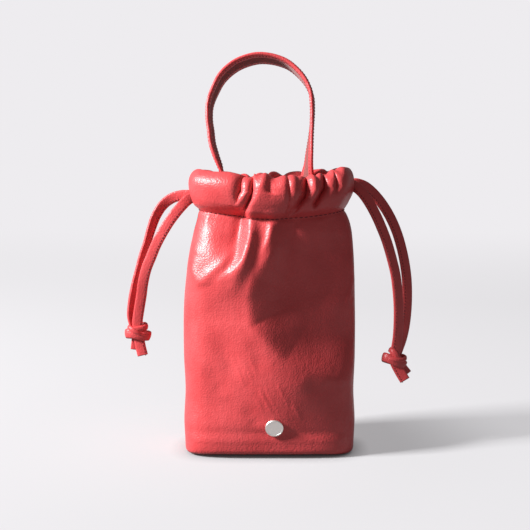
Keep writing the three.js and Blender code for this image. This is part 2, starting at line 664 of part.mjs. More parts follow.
// The strap, or with grow the space that it needs with some mm of clearance all round.
const tipSpan = [0.5, 0.95]; // rises between which its width tips over
function handleGeometry(grow) {
  const tip = THREE.MathUtils.degToRad(handleTip);
  const root = seamHeight - handleDrop;
  const top = seamHeight + handleRise - handleThickness / 2 - (handleWidth / 2) * Math.sin(tip);
  const centres = [];
  const widths = [];
  for (const s of handleStations) {
    const z = root + s.rise * (top - root);
    const x = s.sewn ? (s.sewn * handleRootSpan) / 2 : handleLean + (s.across * handleSpan) / 2;
    const slope = innerDepth(x + handleWidth / 2, z) - innerDepth(x - handleWidth / 2, z);
    const turn = s.sewn ? Math.atan2(-handleWidth, -slope) : THREE.MathUtils.degToRad(s.turn);
    const drop = tip * smooth(...tipSpan, s.rise);
    centres.push(new THREE.Vector3(x, s.back ?? seatDepth(x, z, turn), z));
    widths.push(
      new THREE.Vector3(Math.sin(turn), Math.cos(turn) * Math.cos(drop), -Math.sin(drop)),
    );
  }
  const middleLine = new THREE.CatmullRomCurve3(centres);
  const widthLine = new THREE.CatmullRomCurve3(widths);
  const section = stripSection(handleWidth + 2 * grow, handleThickness + 2 * grow, handleEase);
  const corners = section.getPoints().slice(0, 8);
  const vertices = [];
  for (let i = 0; i <= handleSteps; i += 1) {
    const t = i / handleSteps;
    const along = middleLine.getTangent(t);
    const across = widthLine.getPoint(t);
    across.addScaledVector(along, -across.dot(along)).normalize();
    const through = new THREE.Vector3().crossVectors(along, across);
    for (const c of corners) {
      const corner = middleLine.getPoint(t).addScaledVector(through, c.x);
      vertices.push(corner.addScaledVector(across, c.y));
    }
  }
  const n = corners.length;
  const index = [];
  for (let i = 0; i < handleSteps; i += 1) {
    for (let k = 0; k < n; k += 1) {
      const [a, b] = [i * n + k, i * n + ((k + 1) % n)];
      index.push(a, b + n, b, a, a + n, b + n);
    }
  }
  const end = handleSteps * n;
  for (let k = 2; k < n; k += 1) index.push(0, k - 1, k, end, end + k, end + k - 1);
  const geometry = new THREE.BufferGeometry().setFromPoints(vertices);
  geometry.setIndex(index);
  return geometry;
}

// The stud. Its own +Z looks out of the front panel, and 0 is the leather's outer face.
const studPlace = (() => {
  const spot = (x, z) => placeAt(front, x, z, () => leather);
  const near = studDiameter / 4;
  const right = spot(studAcross + near, studHeight).sub(spot(studAcross - near, studHeight));
  const above = spot(studAcross, studHeight + near).sub(spot(studAcross, studHeight - near));
  const out = right.cross(above).normalize();
  const turn = new THREE.Quaternion().setFromUnitVectors(new THREE.Vector3(0, 0, 1), out);
  return new THREE.Matrix4().compose(spot(studAcross, studHeight), turn, new THREE.Vector3(1, 1, 1));
})();

const lathe = (points, sides) =>
  new THREE.LatheGeometry(points.map(([r, z]) => new THREE.Vector2(r, z)), sides).rotateX(Math.PI / 2);

const discBack = -studBite + fitGap;
const washerFront = -leather + studBite - fitGap;
const washerBack = washerFront - washerThickness;

function studGeometry() {
  const [r, post] = [studDiameter / 2, postDiameter / 2];
  const top = discBack + studThickness;
  const face = top - studDish;
  return lathe(
    [
      [0, washerBack], [post, washerBack], [post, discBack],
      [r - studBevel / 2, discBack], [r, discBack + studBevel / 2],
      [r, top - studBevel], [r - studBevel * 0.4, top - studBevel * 0.35], [r - studBevel, top],
      [r - studRim + studDish, top], [r - studRim, face], [0, face],
    ],
    studSides,
  ).applyMatrix4(studPlace);
}

function washerGeometry() {
  const [r, hole] = [washerDiameter / 2, postDiameter / 2 + fitGap];
  const [low, high] = [washerBack, washerFront];
  return lathe(
    [
      [hole, low], [r - washerEase, low], [r, low + washerEase],
      [r, high - washerEase], [r - washerEase, high], [hole, high], [hole, low],
    ],
    washerSides,
  ).applyMatrix4(studPlace);
}

// What the stud takes out of the panel: seats for the disc and the washer, and the post's hole.
function studSeat() {
  const clear = 3 * leather;
  const bar = (diameter, low, high) => {
    const radius = diameter / 2 + fitGap;
    const turned = new THREE.CylinderGeometry(radius, radius, high - low, studSides);
    turned.rotateX(Math.PI / 2).translate(0, 0, (low + high) / 2);
    return solid(turned.applyMatrix4(studPlace));
  };
  return [
    bar(studDiameter, -studBite, clear),
    bar(postDiameter, -clear, leather),
    bar(washerDiameter, -leather - clear, -leather + studBite),
  ];
}

const leftDrawstring = {
  route: drawstringRoute(leftFrontStrand, leftBackStrand, seamHeight + lowCordRise, 1),
  knot: { centre: [-100.6, 0, 89.6], tilt: 0.08 },
};
const rightDrawstring = {
  route: drawstringRoute(rightFrontStrand, rightBackStrand, seamHeight + highCordRise, -1),
  knot: { centre: [95.4, 0, 69.2], tilt: -0.5 },
};

const glossyRed = { color: 0xc8383d, roughness: 0.34, metalness: 0 };
const pieces = new THREE.Group();
function addPiece(name, geometry, look) {
  geometry.computeVertexNormals();
  const mesh = new THREE.Mesh(geometry, new THREE.MeshStandardMaterial(look));
  mesh.name = name;
  pieces.add(mesh);
}

const frontSolid = studSeat().reduce((rest, cut) => rest.subtract(cut), solid(panelGeometry(front)));
const backSolid = solid(panelGeometry(back)).subtract(solid(handleGeometry(sewnGap)));
addPiece("front_panel", geometryOf(frontSolid), glossyRed);
addPiece("back_panel", geometryOf(backSolid), glossyRed);
addPiece("handle", handleGeometry(0), glossyRed);
addPiece("left_drawstring", drawstringGeometry(leftDrawstring), glossyRed);
addPiece("right_drawstring", drawstringGeometry(rightDrawstring), glossyRed);
addPiece("stud", studGeometry(), { color: 0xd5d6d8, roughness: 0.22, metalness: 1 });
addPiece("stud_washer", washerGeometry(), { color: 0xb9babc, roughness: 0.35, metalness: 1 });

export default pieces;
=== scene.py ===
import math

import bpy
import numpy as np
from mathutils import Matrix, Vector


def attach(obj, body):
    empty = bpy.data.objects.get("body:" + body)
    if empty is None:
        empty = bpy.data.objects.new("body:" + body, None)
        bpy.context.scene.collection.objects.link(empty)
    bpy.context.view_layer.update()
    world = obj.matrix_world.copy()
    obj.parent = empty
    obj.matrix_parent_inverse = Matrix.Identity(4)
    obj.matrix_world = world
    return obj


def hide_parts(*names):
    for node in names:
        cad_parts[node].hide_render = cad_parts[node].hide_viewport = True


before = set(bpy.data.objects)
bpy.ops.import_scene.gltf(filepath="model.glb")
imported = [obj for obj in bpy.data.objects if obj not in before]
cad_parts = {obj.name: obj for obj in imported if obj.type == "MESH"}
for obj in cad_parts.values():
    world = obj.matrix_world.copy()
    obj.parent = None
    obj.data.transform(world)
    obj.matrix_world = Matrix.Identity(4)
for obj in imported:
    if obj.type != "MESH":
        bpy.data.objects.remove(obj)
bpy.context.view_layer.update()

bl_info = {
    "name": "Drawstring pouch",
    "version": (1, 0, 0),
    "blender": (4, 5, 0),
    "location": "View3D > Sidebar > Pouch",
    "description": "Builds a gathered leather pouch with its strap, drawstrings and stud",
    "category": "Add Mesh",
}

MM = 0.001
BODY = "root"

# The panels, as the solids have them
BODY_WIDTH = 130.0
BODY_DEPTH = 80.0
SEAM_HEIGHT = 184.0
SEAM_SAG = 4.5
SAG_POWER = 1.5
CASING_HEIGHT = 35.0
CASING_DEPTH = 50.0
CASING_SHIFT = 3.0
LEATHER = 1.4
BASE_EDGE = 8.0
CORNER_TUCK = 6.0
SEAM_GAP = -0.1  # the solids stand 0.3 mm apart, and here no light shows through the seams
SLIT_GAP = 9.0
SLIT_RISE = 6.3
PUFF_OUT = 8.4
PUFF_IN = 3.0
RIM_DIP = 3.2
RIM_BLUR = 0.06
PINCH = 3.4  # how far the right slit's foot is drawn in, round this height over the floor
PINCH_HEIGHT = 187.5
PINCH_REACH = 7.5
PINCH_SIDE = (0.68, 0.88)  # the places across over which it comes in
CORD_ROOM = 2.0
LEAN_SPAN = (-2.2, 0.2)
SEAM_FADE = 0.4
CHANNEL_FOOT = (0.02, 0.17)
CHANNEL_START = 0.1
FOLD_END = 0.28
PUFF_FULL = 0.6
PUFF_LAG = 0.85  # under 1, the puffs open out sooner over the stitch line than the solids' do
ROLL_START = 0.66
SLIT_PUFF = 0.35
SLIT_PUFF_SPAN = (0.9, 0.72)

# From the bottom edge (0) to the stitch line (1): width and depth over the belly's, squareness
CASING_SHARE = (CASING_DEPTH + 2 * LEATHER) / BODY_DEPTH
STATIONS = np.array([
    (0.0, 0.988, 0.74, 4.2), (0.1, 1.0, 0.87, 3.9), (0.23, 0.984, 0.965, 3.5),
    (0.38, 1.0, 1.0, 3.2), (0.58, 0.997, 0.975, 3.0), (0.76, 0.966, 0.87, 2.8),
    (0.9, 0.918, 0.755, 2.4), (0.98, 0.872, CASING_SHARE, 2.0),
    (1.04, 0.868, CASING_SHARE, 1.95), (1.3, 0.86, CASING_SHARE, 1.95),
])
WIDE, DEEP, SQUARE = 1, 2, 3

# Gathers, along the solids' lines: a line of (across, up) from the rim down, the widths of its
# left and right flanks, its depth, its fade, and the share of its width that is left at its foot
FRONT_GATHERS = [
    ([(-0.2, 1.08), (-0.212, 0.87), (-0.255, 0.62), (-0.335, 0.32)], 9.0, 2.4, 1.0, 0.25, 0.3),
    ([(-0.11, 1.05), (-0.19, 0.51), (-0.29, 0.1), (-0.32, 0.0)], 2.4, 2.8, 0.9, 0.15, 0.7),
    ([(0.062, 1.1), (0.04, 0.8), (0.015, 0.54)], 4.6, 4.4, 1.0, 0.4, 0.8),
    ([(0.196, 1.05), (0.203, 0.5), (0.19, 0.08)], 1.4, 1.5, 0.66, 0.3, 1.0),
    ([(0.3, 1.05), (0.305, 0.75)], 1.6, 2.0, 0.45, 0.7, 1.0),
    ([(0.42, 1.08), (0.43, 0.7), (0.4, 0.45), (0.29, 0.18), (0.18, 0.02)], 6.0, 2.2, 1.0, 0.15, 0.8),
    ([(0.5, 1.05), (0.525, 0.62)], 2.2, 2.0, 0.8, 0.6, 0.7),
    ([(0.635, 1.05), (0.615, 0.62), (0.51, 0.3), (0.45, 0.14)], 4.8, 2.2, 0.95, 0.3, 0.8),
    ([(0.735, 1.05), (0.71, 0.72), (0.655, 0.4)], 2.2, 2.0, 0.55, 0.5, 0.8),
]
BACK_GATHERS = [
    ([(-0.6, 1.05), (-0.585, 0.6), (-0.56, 0.25)], 3.2, 3.2, 0.6, 0.6, 1.0),
    ([(-0.36, 1.05), (-0.38, 0.5)], 3.0, 3.6, 0.75, 0.5, 0.8),
    ([(-0.2, 1.1), (-0.23, 0.55), (-0.27, 0.05)], 4.0, 4.0, 0.95, 0.3, 1.0),
    ([(-0.03, 1.05), (-0.015, 0.5), (-0.03, 0.1)], 3.0, 3.0, 0.75, 0.4, 1.0),
    ([(0.15, 1.1), (0.16, 0.6), (0.2, 0.06)], 4.2, 4.2, 0.95, 0.3, 1.0),
    ([(0.42, 1.1), (0.4, 0.6)], 3.4, 3.0, 0.7, 0.5, 0.8),
    ([(0.68, 1.05), (0.66, 0.5), (0.6, 0.15)], 3.4, 3.4, 0.7, 0.5, 1.0),
]
# How far the folded edge stands under or over the even height, in mm, at places across
FRONT_RIM = [
    (-1.0, -4.5), (-0.76, -4.0), (-0.61, -4.2), (-0.48, -2.6), (-0.24, -2.4), (-0.11, 0.2),
    (0.05, -1.4), (0.15, -2.6), (0.45, -2.6), (0.58, -2.8), (0.67, -2.2), (0.79, -0.8),
    (0.89, -3.6), (1.0, -6.0),
]
BACK_RIM = [
    (-1.0, -5.0), (-0.5, -5.8), (-0.25, -5.4), (-0.1, -4.6), (0.05, -3.0), (0.25, -4.2),
    (0.45, -4.0), (0.65, -3.6), (0.85, -4.0), (1.0, -6.0),
]
# Folds of the body, near the solids' own: a line of (across, up), width, height, fade
FRONT_FOLDS = [
    ([(-0.325, 0.06), (-0.37, -0.45), (-0.45, -1.05)], 5, -4, 0.7),
    ([(-0.208, 0.03), (-0.23, -0.45), (-0.297, -0.96), (-0.42, -1.4), (-0.62, -1.7)], 5.5, 3.4, 0.7),
    ([(-0.45, -0.2), (-0.5, -1.0)], 12, -5.4, 0.8),
    ([(-0.84, -0.8), (-0.86, -1.2), (-0.8, -1.6)], 5, 1.4, 0.7),
    ([(0.05, 0.0), (0.0, -1.2), (-0.09, -2.6)], 8, 2.4, 0.8),
    ([(0.2, 0.02), (0.21, -0.9), (0.13, -2.6)], 8, -2.2, 0.8),
    ([(0.52, -0.3), (0.6, -1.3)], 13, 1.4, 0.8),
]
BACK_FOLDS = [
    ([(-0.27, 0.03), (-0.3, -0.7), (-0.4, -1.5)], 6, -3.6, 0.8),
    ([(-0.03, 0.0), (-0.05, -1.2)], 9, 2.8, 0.8),
    ([(0.2, 0.03), (0.26, -0.8), (0.4, -1.9)], 7, -3.8, 0.8),
    ([(0.6, 0.05), (0.62, -1.0)], 9, 2.2, 0.8),
]

# The front's upper right falls away right of and above this line, first over a short edge and
# then in a long slope, deeper than the solid's
HOLLOW_LINE = [
    (0.1, 0.3), (0.06, -0.5), (-0.086, -0.8), (-0.21, -1.16), (-0.28, -1.65), (-0.24, -2.27),
    (-0.108, -2.51), (0.16, -3.01), (0.7, -3.5), (1.1, -3.7),
]
HOLLOW_STEPS = [(4.6, 10.0), (9.0, 28.0)]  # depth and reach
HOLLOW_FADE = (-0.8, 0.5)
# The front falls back to both sides of a soft ridge. Each fall has its depth, the places where it
# begins and ends across, and the heights over which it comes in and dies out, in mm.
FALLS = [
    (9.0, 10.0, -46.0, (8.0, 45.0), (104.0, 142.0)),
    (6.5, 12.0, 62.0, (8.0, 45.0), (84.0, 120.0)),
    (8.0, -14.0, 40.0, (54.0, 94.0), (150.0, 196.0)),
]
BASE_LIFT = 2.6  # how far the front edge of the base is bowed off the floor
LIFT_ENDS = (0.02, 0.3)  # the shares of the edge over which the bow comes in
LIFT_TOP = 36.0  # the height at which the wall is at rest again
FOOT_SHARE = 0.1  # how much farther forward the front's foot stands than the solids'
FOOT_TOP = 20.0

# The strap
STRAP_LEAN = -6.6
STRAP_SPAN = 82.5
STRAP_RISE = 117.8
STRAP_DROP = 32.0
STRAP_ROOT_SPAN = 58.0
STRAP_TIP = 24.0
STRAP_TIP_SPAN = (0.5, 0.95)
STRAP_WIDTH = 18.0
STRAP_THICKNESS = 2.8
SEWN_GAP = 0.3
HELD_FADE = (1, 6)  # how far from a sewn end the casing is free again, in mm
STRAP_MARGIN = 4.4  # the turned and sewn margin along each edge of the strap

# The drawstrings
CORD_WIDTH = 6.6
STRAND_WIDTH = 8.0  # the free strands lie flatter, and so wider, than they run in the casings
STRAND_BLUFF = 0.55  # how round their edges are, 1 for half round
CORD_THICKNESS = 2.4
LOW_CORD_RISE = 10.0
HIGH_CORD_RISE = 19.0
CORD_TURN = 2.5  # how far a closed end stands out of its slit
RUN_SPAN = (0.01, 0.985)  # the share of a casing that a run fills
TURN_SHARE = 0.8  # and of a slit that its closed end spans
KNOT_WAVE = 0.05  # how wavy a knot's band is, over its size
KNOT_RISE = 0.5  # how far it goes up and down, in mm
KNOT_FLARE = 0.18  # how far its strip leans out

# How fine the meshes are
COLUMNS = 280
OUTLINE_SAMPLES = 320
WALL_ROWS = 150
SKIP_ROWS = 3  # the body's inside has one row for so many of its outside
BASE_REACHES = (0, 0.3, 0.6, 0.85, 1)  # rows under the base, as shares of its depth
INNER_BASE_REACHES = (0, 0.5, 1)
EDGE_ROWS = 9  # round the edge of the base
OUTER_ROWS = 50  # in the casing's outer layer
INNER_ROWS = 28
ROLL_ROWS = 14  # round the folded edge
CHANNEL_SKIP = 3  # the channel has one row for so many of the inner layer
ROLL_SKIP = 4
STRAND_STEPS = 150
STRAP_STEPS = 240
KNOT_STEPS = 48
RUN_STEPS = 60
TURN_STEPS = 9
HALVINGS = 24  # tries to find a place on a panel, each half as far off as the last


def smooth(low, high, x):
    """0 below low, 1 above high, and an even curve between them."""
    t = np.clip((np.asarray(x, float) - low) / (high - low), 0, 1)
    return t * t * (3 - 2 * t)


def station(share, key):
    """A value of the stations at a share of the way up, on a smooth curve through each."""
    at, value = STATIONS[:, 0], STATIONS[:, key]
    last = len(at) - 1
    share = np.asarray(share, float)
    i = np.minimum(np.searchsorted(at[1:], share, side="left"), last - 1)
    span = at[i + 1] - at[i]
    t = np.clip((share - at[i]) / span, 0, 1)
    before, after = np.maximum(i - 1, 0), np.minimum(i + 2, last)
    leave = (value[i + 1] - value[before]) / (at[i + 1] - at[before]) * span
    arrive = (value[after] - value[i]) / (at[after] - at[i]) * span
    t2, t3 = t**2, t**3
    return (
        value[i] * (2 * t3 - 3 * t2 + 1)
        + leave * (t3 - 2 * t2 + t)
        + value[i + 1] * (3 * t2 - 2 * t3)
        + arrive * (t3 - t2)
    )


def outline(half_width, half_depth, square):
    """The front half of an outline, from left to right, with the length walked along it."""
    angle = np.linspace(0, np.pi, OUTLINE_SAMPLES + 1)
    power = 2 / square
    x = -half_width * np.sign(np.cos(angle)) * np.abs(np.cos(angle)) ** power
    y = -half_depth * np.abs(np.sin(angle)) ** power
    step = np.hypot(np.diff(x), np.diff(y))
    return x, y, np.concatenate([[0], np.cumsum(step)])


def outline_row(half_width, half_depth, square, u):
    """The places on an outline at shares u of its length."""
    x, y, walked = outline(half_width, half_depth, square)
    target = np.clip(u, 0, 1) * walked[-1]
    return np.interp(target, walked, x), np.interp(target, walked, y)


class Outlines:
    """The panels' outlines at every height, each walked in even steps of its own length."""

    step = 1.0
    places = 600

    def __init__(self):
        self.low = BASE_EDGE
        heights = np.arange(self.low, SEAM_HEIGHT + CASING_HEIGHT + 3, self.step)
        share = (heights - BASE_EDGE) / (SEAM_HEIGHT - BASE_EDGE)
        half_width = station(share, WIDE) * BODY_WIDTH / 2 - LEATHER
        half_depth = station(share, DEEP) * BODY_DEPTH / 2 - LEATHER
        square = station(share, SQUARE)
        even = np.linspace(0, 1, self.places + 1)
        rows = []
        for w, d, s in zip(half_width, half_depth, square):
            x, y, walked = outline(w, d, s)
            at = even * walked[-1]
            rows.append((np.interp(at, walked, x), np.interp(at, walked, y), walked[-1]))
        self.x = np.array([r[0] for r in rows])
        self.y = np.array([r[1] for r in rows])
        self.length = np.array([r[2] for r in rows])

    def spot(self, u, z, skip):
        """The place at share u and height z, with skip mm left out at both ends of the row."""
        k = np.clip((z - self.low) / self.step, 0, len(self.length) - 1.001)
        row = k.astype(int)
        over = k - row
        length = self.length[row] * (1 - over) + self.length[row + 1] * over
        w = (skip + np.clip(u, 0, 1) * (length - 2 * skip)) / length * self.places
        column = np.clip(w.astype(int), 0, self.places - 1)
        along = w - column

        def mix(table):
            low = table[row, column] * (1 - along) + table[row, column + 1] * along
            high = table[row + 1, column] * (1 - along) + table[row + 1, column + 1] * along
            return low * (1 - over) + high * over

        return mix(self.x), mix(self.y)


OUTLINES = Outlines()


def stitch_height(u):
    """The casing's stitch line hangs in a flat curve between the two side seams."""
    return SEAM_HEIGHT - SEAM_SAG * np.sin(np.pi * np.clip(u, 0, 1)) ** SAG_POWER


class Middle:
    """A panel's line: the leather's inner face in the body, the channel's middle in the casing."""

    def __init__(self, u, z):
        u, z = np.broadcast_arrays(np.asarray(u, float), np.asarray(z, float))
        over = z - stitch_height(u)
        skip = SLIT_GAP / 2 * smooth(0, SLIT_RISE, over)
        step = 0.006
        x, y = OUTLINES.spot(u, z, skip)
        x0, y0 = OUTLINES.spot(u - step, z, skip)
        x1, y1 = OUTLINES.spot(u + step, z, skip)
        length = np.hypot(x1 - x0, y1 - y0)
        self.u, self.z = u, z
        self.up = over / CASING_HEIGHT
        self.x = x + CASING_SHIFT * smooth(*LEAN_SPAN, self.up)
        self.y = y - SEAM_GAP / 2
        self.out_x = (y1 - y0) / length
        self.out_y = -(x1 - x0) / length
        self.across = self.x / (BODY_WIDTH / 2)

    def sink(self, depth):
        """Brings the line nearer the bag's middle by depth mm where the bag is deepest."""
        self.y = self.y * (1 - depth / (BODY_DEPTH / 2))
        return self

    def off(self, side, level, slide=0.0):
        """Points level mm off the line, and slid mm along it, on the front or on the back."""
        x = self.x + self.out_x * level - self.out_y * slide
        y = -side * (self.y + self.out_y * level + self.out_x * slide)
        return np.stack([x, y, self.z], axis=-1)


def near_line(line, x, z):
    """How far places lie from a line, how far along it from 0 to 1, and on which side."""
    far = np.full(np.shape(x), np.inf)
    along = np.zeros(np.shape(x))
    side = np.zeros(np.shape(x))
    steps = len(line) - 1
    for i, ((ax, az), (bx, bz)) in enumerate(zip(line, line[1:])):
        dx, dz = bx - ax, bz - az
        t = np.clip(((x - ax) * dx + (z - az) * dz) / (dx**2 + dz**2), 0, 1)
        d = np.hypot(x - ax - dx * t, z - az - dz * t)
        closer = d < far
        far = np.where(closer, d, far)
        along = np.where(closer, (i + t) / steps, along)
        side = np.where(closer, dx * (z - az) - dz * (x - ax), side)
    return far, along, side


def on_map(line, across, up):
    """near_line for a line of the fold map, in mm."""
    scaled = [(a * BODY_WIDTH / 2, b * CASING_HEIGHT) for a, b in line]
    return near_line(scaled, across * BODY_WIDTH / 2, up * CASING_HEIGHT)


def fold_share(line, left, right, fade, foot, across, up):
    """How much of a fold is felt at a place: 1 on its line, and less to its sides and its end."""
    far, along, side = on_map(line, across, up)
    width = np.where(side > 0, right, left) * (1 - (1 - foot) * along)
    return np.exp(-((far / width) ** 2)) * (1 - smooth(1 - fade, 1.05, along))


def drawn_in(panel, across, up):
    """How far the casing may puff out: 1 between the gathers, and down to 0 on their lines."""
    kept = np.ones(np.shape(across))
    for line, left, right, depth, fade, foot in panel["gathers"]:
        kept = kept * (1 - depth * fold_share(line, left, right, fade, foot, across, up))
    return kept


def fold_height(panel, across, up):
    """How far the body's folds stand off the leather, in mm."""
    total = np.zeros(np.shape(across))
    for line, width, height, fade in panel["folds"]:
        total = total + height * fold_share(line, width, width, fade, 1.0, across, up)
    return total


def hollow_depth(panel, m):
    """How far the front falls back at a place, less what its foot stands forward. The back
    doesn't fall back."""
    if not panel["hollow"]:
        return 0.0
    far, _, side = on_map(HOLLOW_LINE, m.across, m.up)
    fallen = sum(depth * (1 - np.exp(-((far / reach) ** 2))) for depth, reach in HOLLOW_STEPS)
    total = np.where(side > 0, fallen, 0) * (1 - smooth(*HOLLOW_FADE, m.up))
    for depth, start, end, come, go in FALLS:
        total = total + depth * smooth(start, end, m.x) * smooth(*come, m.z) * (
            1 - smooth(*go, m.z)
        )
    return total - BODY_DEPTH / 2 * FOOT_SHARE * (1 - smooth(BASE_EDGE, FOOT_TOP, m.z))


def base_lift(panel, u):
    """How far the foot is off the floor: the front's is bowed up between its two corners."""
    if panel["side"] > 0:
        return np.zeros(np.shape(u))
    return BASE_LIFT * smooth(*LIFT_ENDS, u) * smooth(*LIFT_ENDS, 1 - u)


def pinched(m):
    """How far the foot of the right slit is drawn in."""
    near = np.exp(-(((m.z - PINCH_HEIGHT) / PINCH_REACH) ** 2))
    return PINCH * near * smooth(*PINCH_SIDE, m.across)


# Finer creases that only these meshes have. A line is in mm across from the bag's middle and
# above the floor, then come the widths on its two sides, its height over the leather, and the
# shares of its length over which it comes in and dies out.
FRONT_CREASES = [
    # The dent's rim, from the stitch line round under it
    ([(-12, 178), (-14, 168), (-19, 152), (-26, 143), (-36, 135), (-44, 131)], 3.2, 5, 1.7, 0.15, 0.4),
    ([(-21, 168), (-28, 155), (-36, 146), (-45, 138), (-50, 132), (-47, 128)], 3.6, 4.2, 1.4, 0.3, 0.3),
    ([(-54, 152), (-56, 143), (-53, 135), (-49, 130)], 3, 3, 1.2, 0.4, 0.4),
    ([(-44, 183), (-46, 178), (-47, 170)], 2.2, 2.2, 1.0, 0.2, 0.5),
    # Folds that hang from the stitch line
    ([(2, 178), (-1, 164), (-8, 150)], 2.4, 3.4, 1.3, 0.1, 0.6),
    ([(20, 180), (17, 168), (15, 150)], 3, 3, -0.8, 0.1, 0.6),
    ([(36, 180), (38, 168), (40, 152)], 4, 4, 0.8, 0.1, 0.6),
    ([(46, 181), (49, 165), (52, 148)], 3, 3, -0.5, 0.1, 0.6),
    # Creases of the soft lower half
    ([(-29, 80), (-22, 65), (-16, 51)], 1.2, 2.0, 0.34, 0.4, 0.5),
    ([(-25, 84), (-19, 68), (-15, 57)], 1.0, 1.8, 0.28, 0.4, 0.5),
    ([(-21, 78), (-15, 66), (-11, 55)], 1.0, 1.8, 0.24, 0.4, 0.5),
    ([(-17, 84), (-12, 71), (-8, 62)], 0.9, 1.6, 0.2, 0.4, 0.5),
    ([(-9, 56), (-3, 46), (2, 35)], 1.0, 1.6, 0.42, 0.3, 0.5),
    ([(-4, 58), (1, 47), (7, 36)], 1.0, 1.6, 0.3, 0.3, 0.5),
    ([(-12, 48), (-7, 42), (-4, 34)], 1.0, 1.4, 0.24, 0.3, 0.5),
    ([(4, 62), (10, 50), (15, 40)], 1.2, 2.0, 0.28, 0.3, 0.5),
    ([(16, 44), (21, 36), (24, 30)], 1.2, 2.0, 0.3, 0.3, 0.5),
    # Broad soft dents of the lower half
    ([(-42, 98), (-31, 76), (-24, 58)], 6, 8, -1.2, 0.4, 0.4),
    ([(-50, 72), (-38, 58), (-32, 46)], 6, 7, -1.0, 0.4, 0.4),
    ([(-22, 42), (-12, 32), (-6, 22)], 5, 6, -1.0, 0.4, 0.4),
    ([(-16, 96), (-9, 80), (-4, 66)], 5, 6, -0.9, 0.4, 0.4),
    ([(24, 62), (36, 54), (52, 50)], 6, 5, -1.0, 0.4, 0.4),
    # The thin crease down the right side
    ([(61, 137), (60, 127), (57, 116), (55, 102)], 1.2, 2.0, 0.9, 0.2, 0.5),
]
BACK_CREASES = [
    ([(-20, 179), (-23, 160), (-30, 140)], 3, 4, 1.4, 0.1, 0.6),
    ([(6, 179), (4, 160), (8, 138)], 3, 3, -1.4, 0.1, 0.6),
    ([(28, 181), (31, 162), (38, 138)], 3, 4, 1.4, 0.1, 0.6),
    ([(-40, 120), (-22, 104), (-2, 98)], 5, 7, -1.8, 0.3, 0.4),
    ([(6, 66), (22, 58), (36, 44)], 1.4, 2.4, 0.7, 0.3, 0.4),
    ([(2, 62), (18, 54), (30, 42)], 1.2, 2.2, 0.5, 0.3, 0.4),
]

FRONT = {
    "name": "front_panel", "side": -1, "gathers": FRONT_GATHERS, "folds": FRONT_FOLDS,
    "hollow": True, "creases": FRONT_CREASES, "rim": FRONT_RIM,
}
BACK = {
    "name": "back_panel", "side": 1, "gathers": BACK_GATHERS, "folds": BACK_FOLDS,
    "hollow": False, "creases": BACK_CREASES, "rim": BACK_RIM,
}


def crease_height(panel, x, z):
    """How far the finer creases stand off the leather, in mm."""
    total = np.zeros(np.shape(x))
    for line, left, right, height, come, go in panel["creases"]:
        far, along, side = near_line(line, x, z)
        width = np.where(side > 0, right, left)
        ends = smooth(0, come, along) * (1 - smooth(1 - go, 1, along))
        total = total + height * np.exp(-((far / width) ** 2)) * ends
    return total


def wall_level(panel, m):
    """How far the body's leather stands off the panel's line: its folds and creases."""
    middle = np.sin(np.pi * m.u) ** SEAM_FADE
    rise = (fold_height(panel, m.across, m.up) + crease_height(panel, m.x, m.z)) * middle
    return rise - pinched(m)


def held_flat(panel, m):
    """1 where the strap's sewn ends hold the back's inner layer flat, and 0 away from them."""
    if panel["side"] < 0:
        return 0.0
    from_root = np.abs(np.abs(m.across * BODY_WIDTH / 2) - STRAP_ROOT_SPAN / 2)
    return 1 - smooth(*HELD_FADE, from_root - STRAP_WIDTH / 2)


def casing_level(panel, m, outer):
    """How far a casing's outer or inner layer lies off the middle of the channel."""
    opened = np.sin(np.pi / 2 * np.clip(m.up / PUFF_FULL, 0, 1)) ** PUFF_LAG
    low, high = SLIT_PUFF_SPAN
    ends = SLIT_PUFF + (1 - SLIT_PUFF) * smooth(0, low - high, low - np.abs(m.across))
    full = drawn_in(panel, m.across, m.up)
    room = CORD_ROOM * smooth(*CHANNEL_FOOT, m.up) + LEATHER
    fold = fold_height(panel, m.across, np.minimum(m.up, CHANNEL_FOOT[0]))
    kept = (1 - smooth(0, FOLD_END, m.up)) * fold - pinched(m)
    if outer:
        return kept + room + PUFF_OUT * opened * full * ends
    return kept - room - PUFF_IN * opened * full * ends * (1 - held_flat(panel, m))


def rim_height(panel, u):
    """The height of the folded edge over the stitch line, on a softened line of rim places."""
    m = Middle(u, stitch_height(u) + CASING_HEIGHT)
    places, shifts = zip(*panel["rim"])
    near = [np.interp(m.across + d, places, shifts) for d in np.linspace(-RIM_BLUR, RIM_BLUR, 9)]
    dip = RIM_DIP * (1 - drawn_in(panel, m.across, np.ones(np.shape(u))))
    return CASING_HEIGHT - dip + np.mean(near, axis=0)


def column_places():
    """Columns stand closer together in the middle, where the gathers are."""
    even = np.linspace(0, 1, COLUMNS + 1)
    return even + 0.25 * np.sin(2 * np.pi * even) / (2 * np.pi)


BASE_CORNER = 0.5  # 1 for a round edge round the base, and less for a sharper one
SEAM_GROOVE = (0.9, 1.3)  # depth and half width of the groove along a side seam
STITCH_GROOVE = (0.9, 1.5)  # the same, along the casing's stitch line
CHOP = 0.7  # how far a flank slides towards its valley, which rounds the ridges
SLIDE_ENDS = (0, 0.08)  # where the slide comes in, from each side seam
SLIDE_FOOT = (0.05, 0.3)  # and up from the stitch line


def stitch_groove(m):
    """How deep the groove of the stitch line is at a place."""
    depth, width = STITCH_GROOVE
    return depth * np.exp(-(((m.z - stitch_height(m.u)) / width) ** 2))


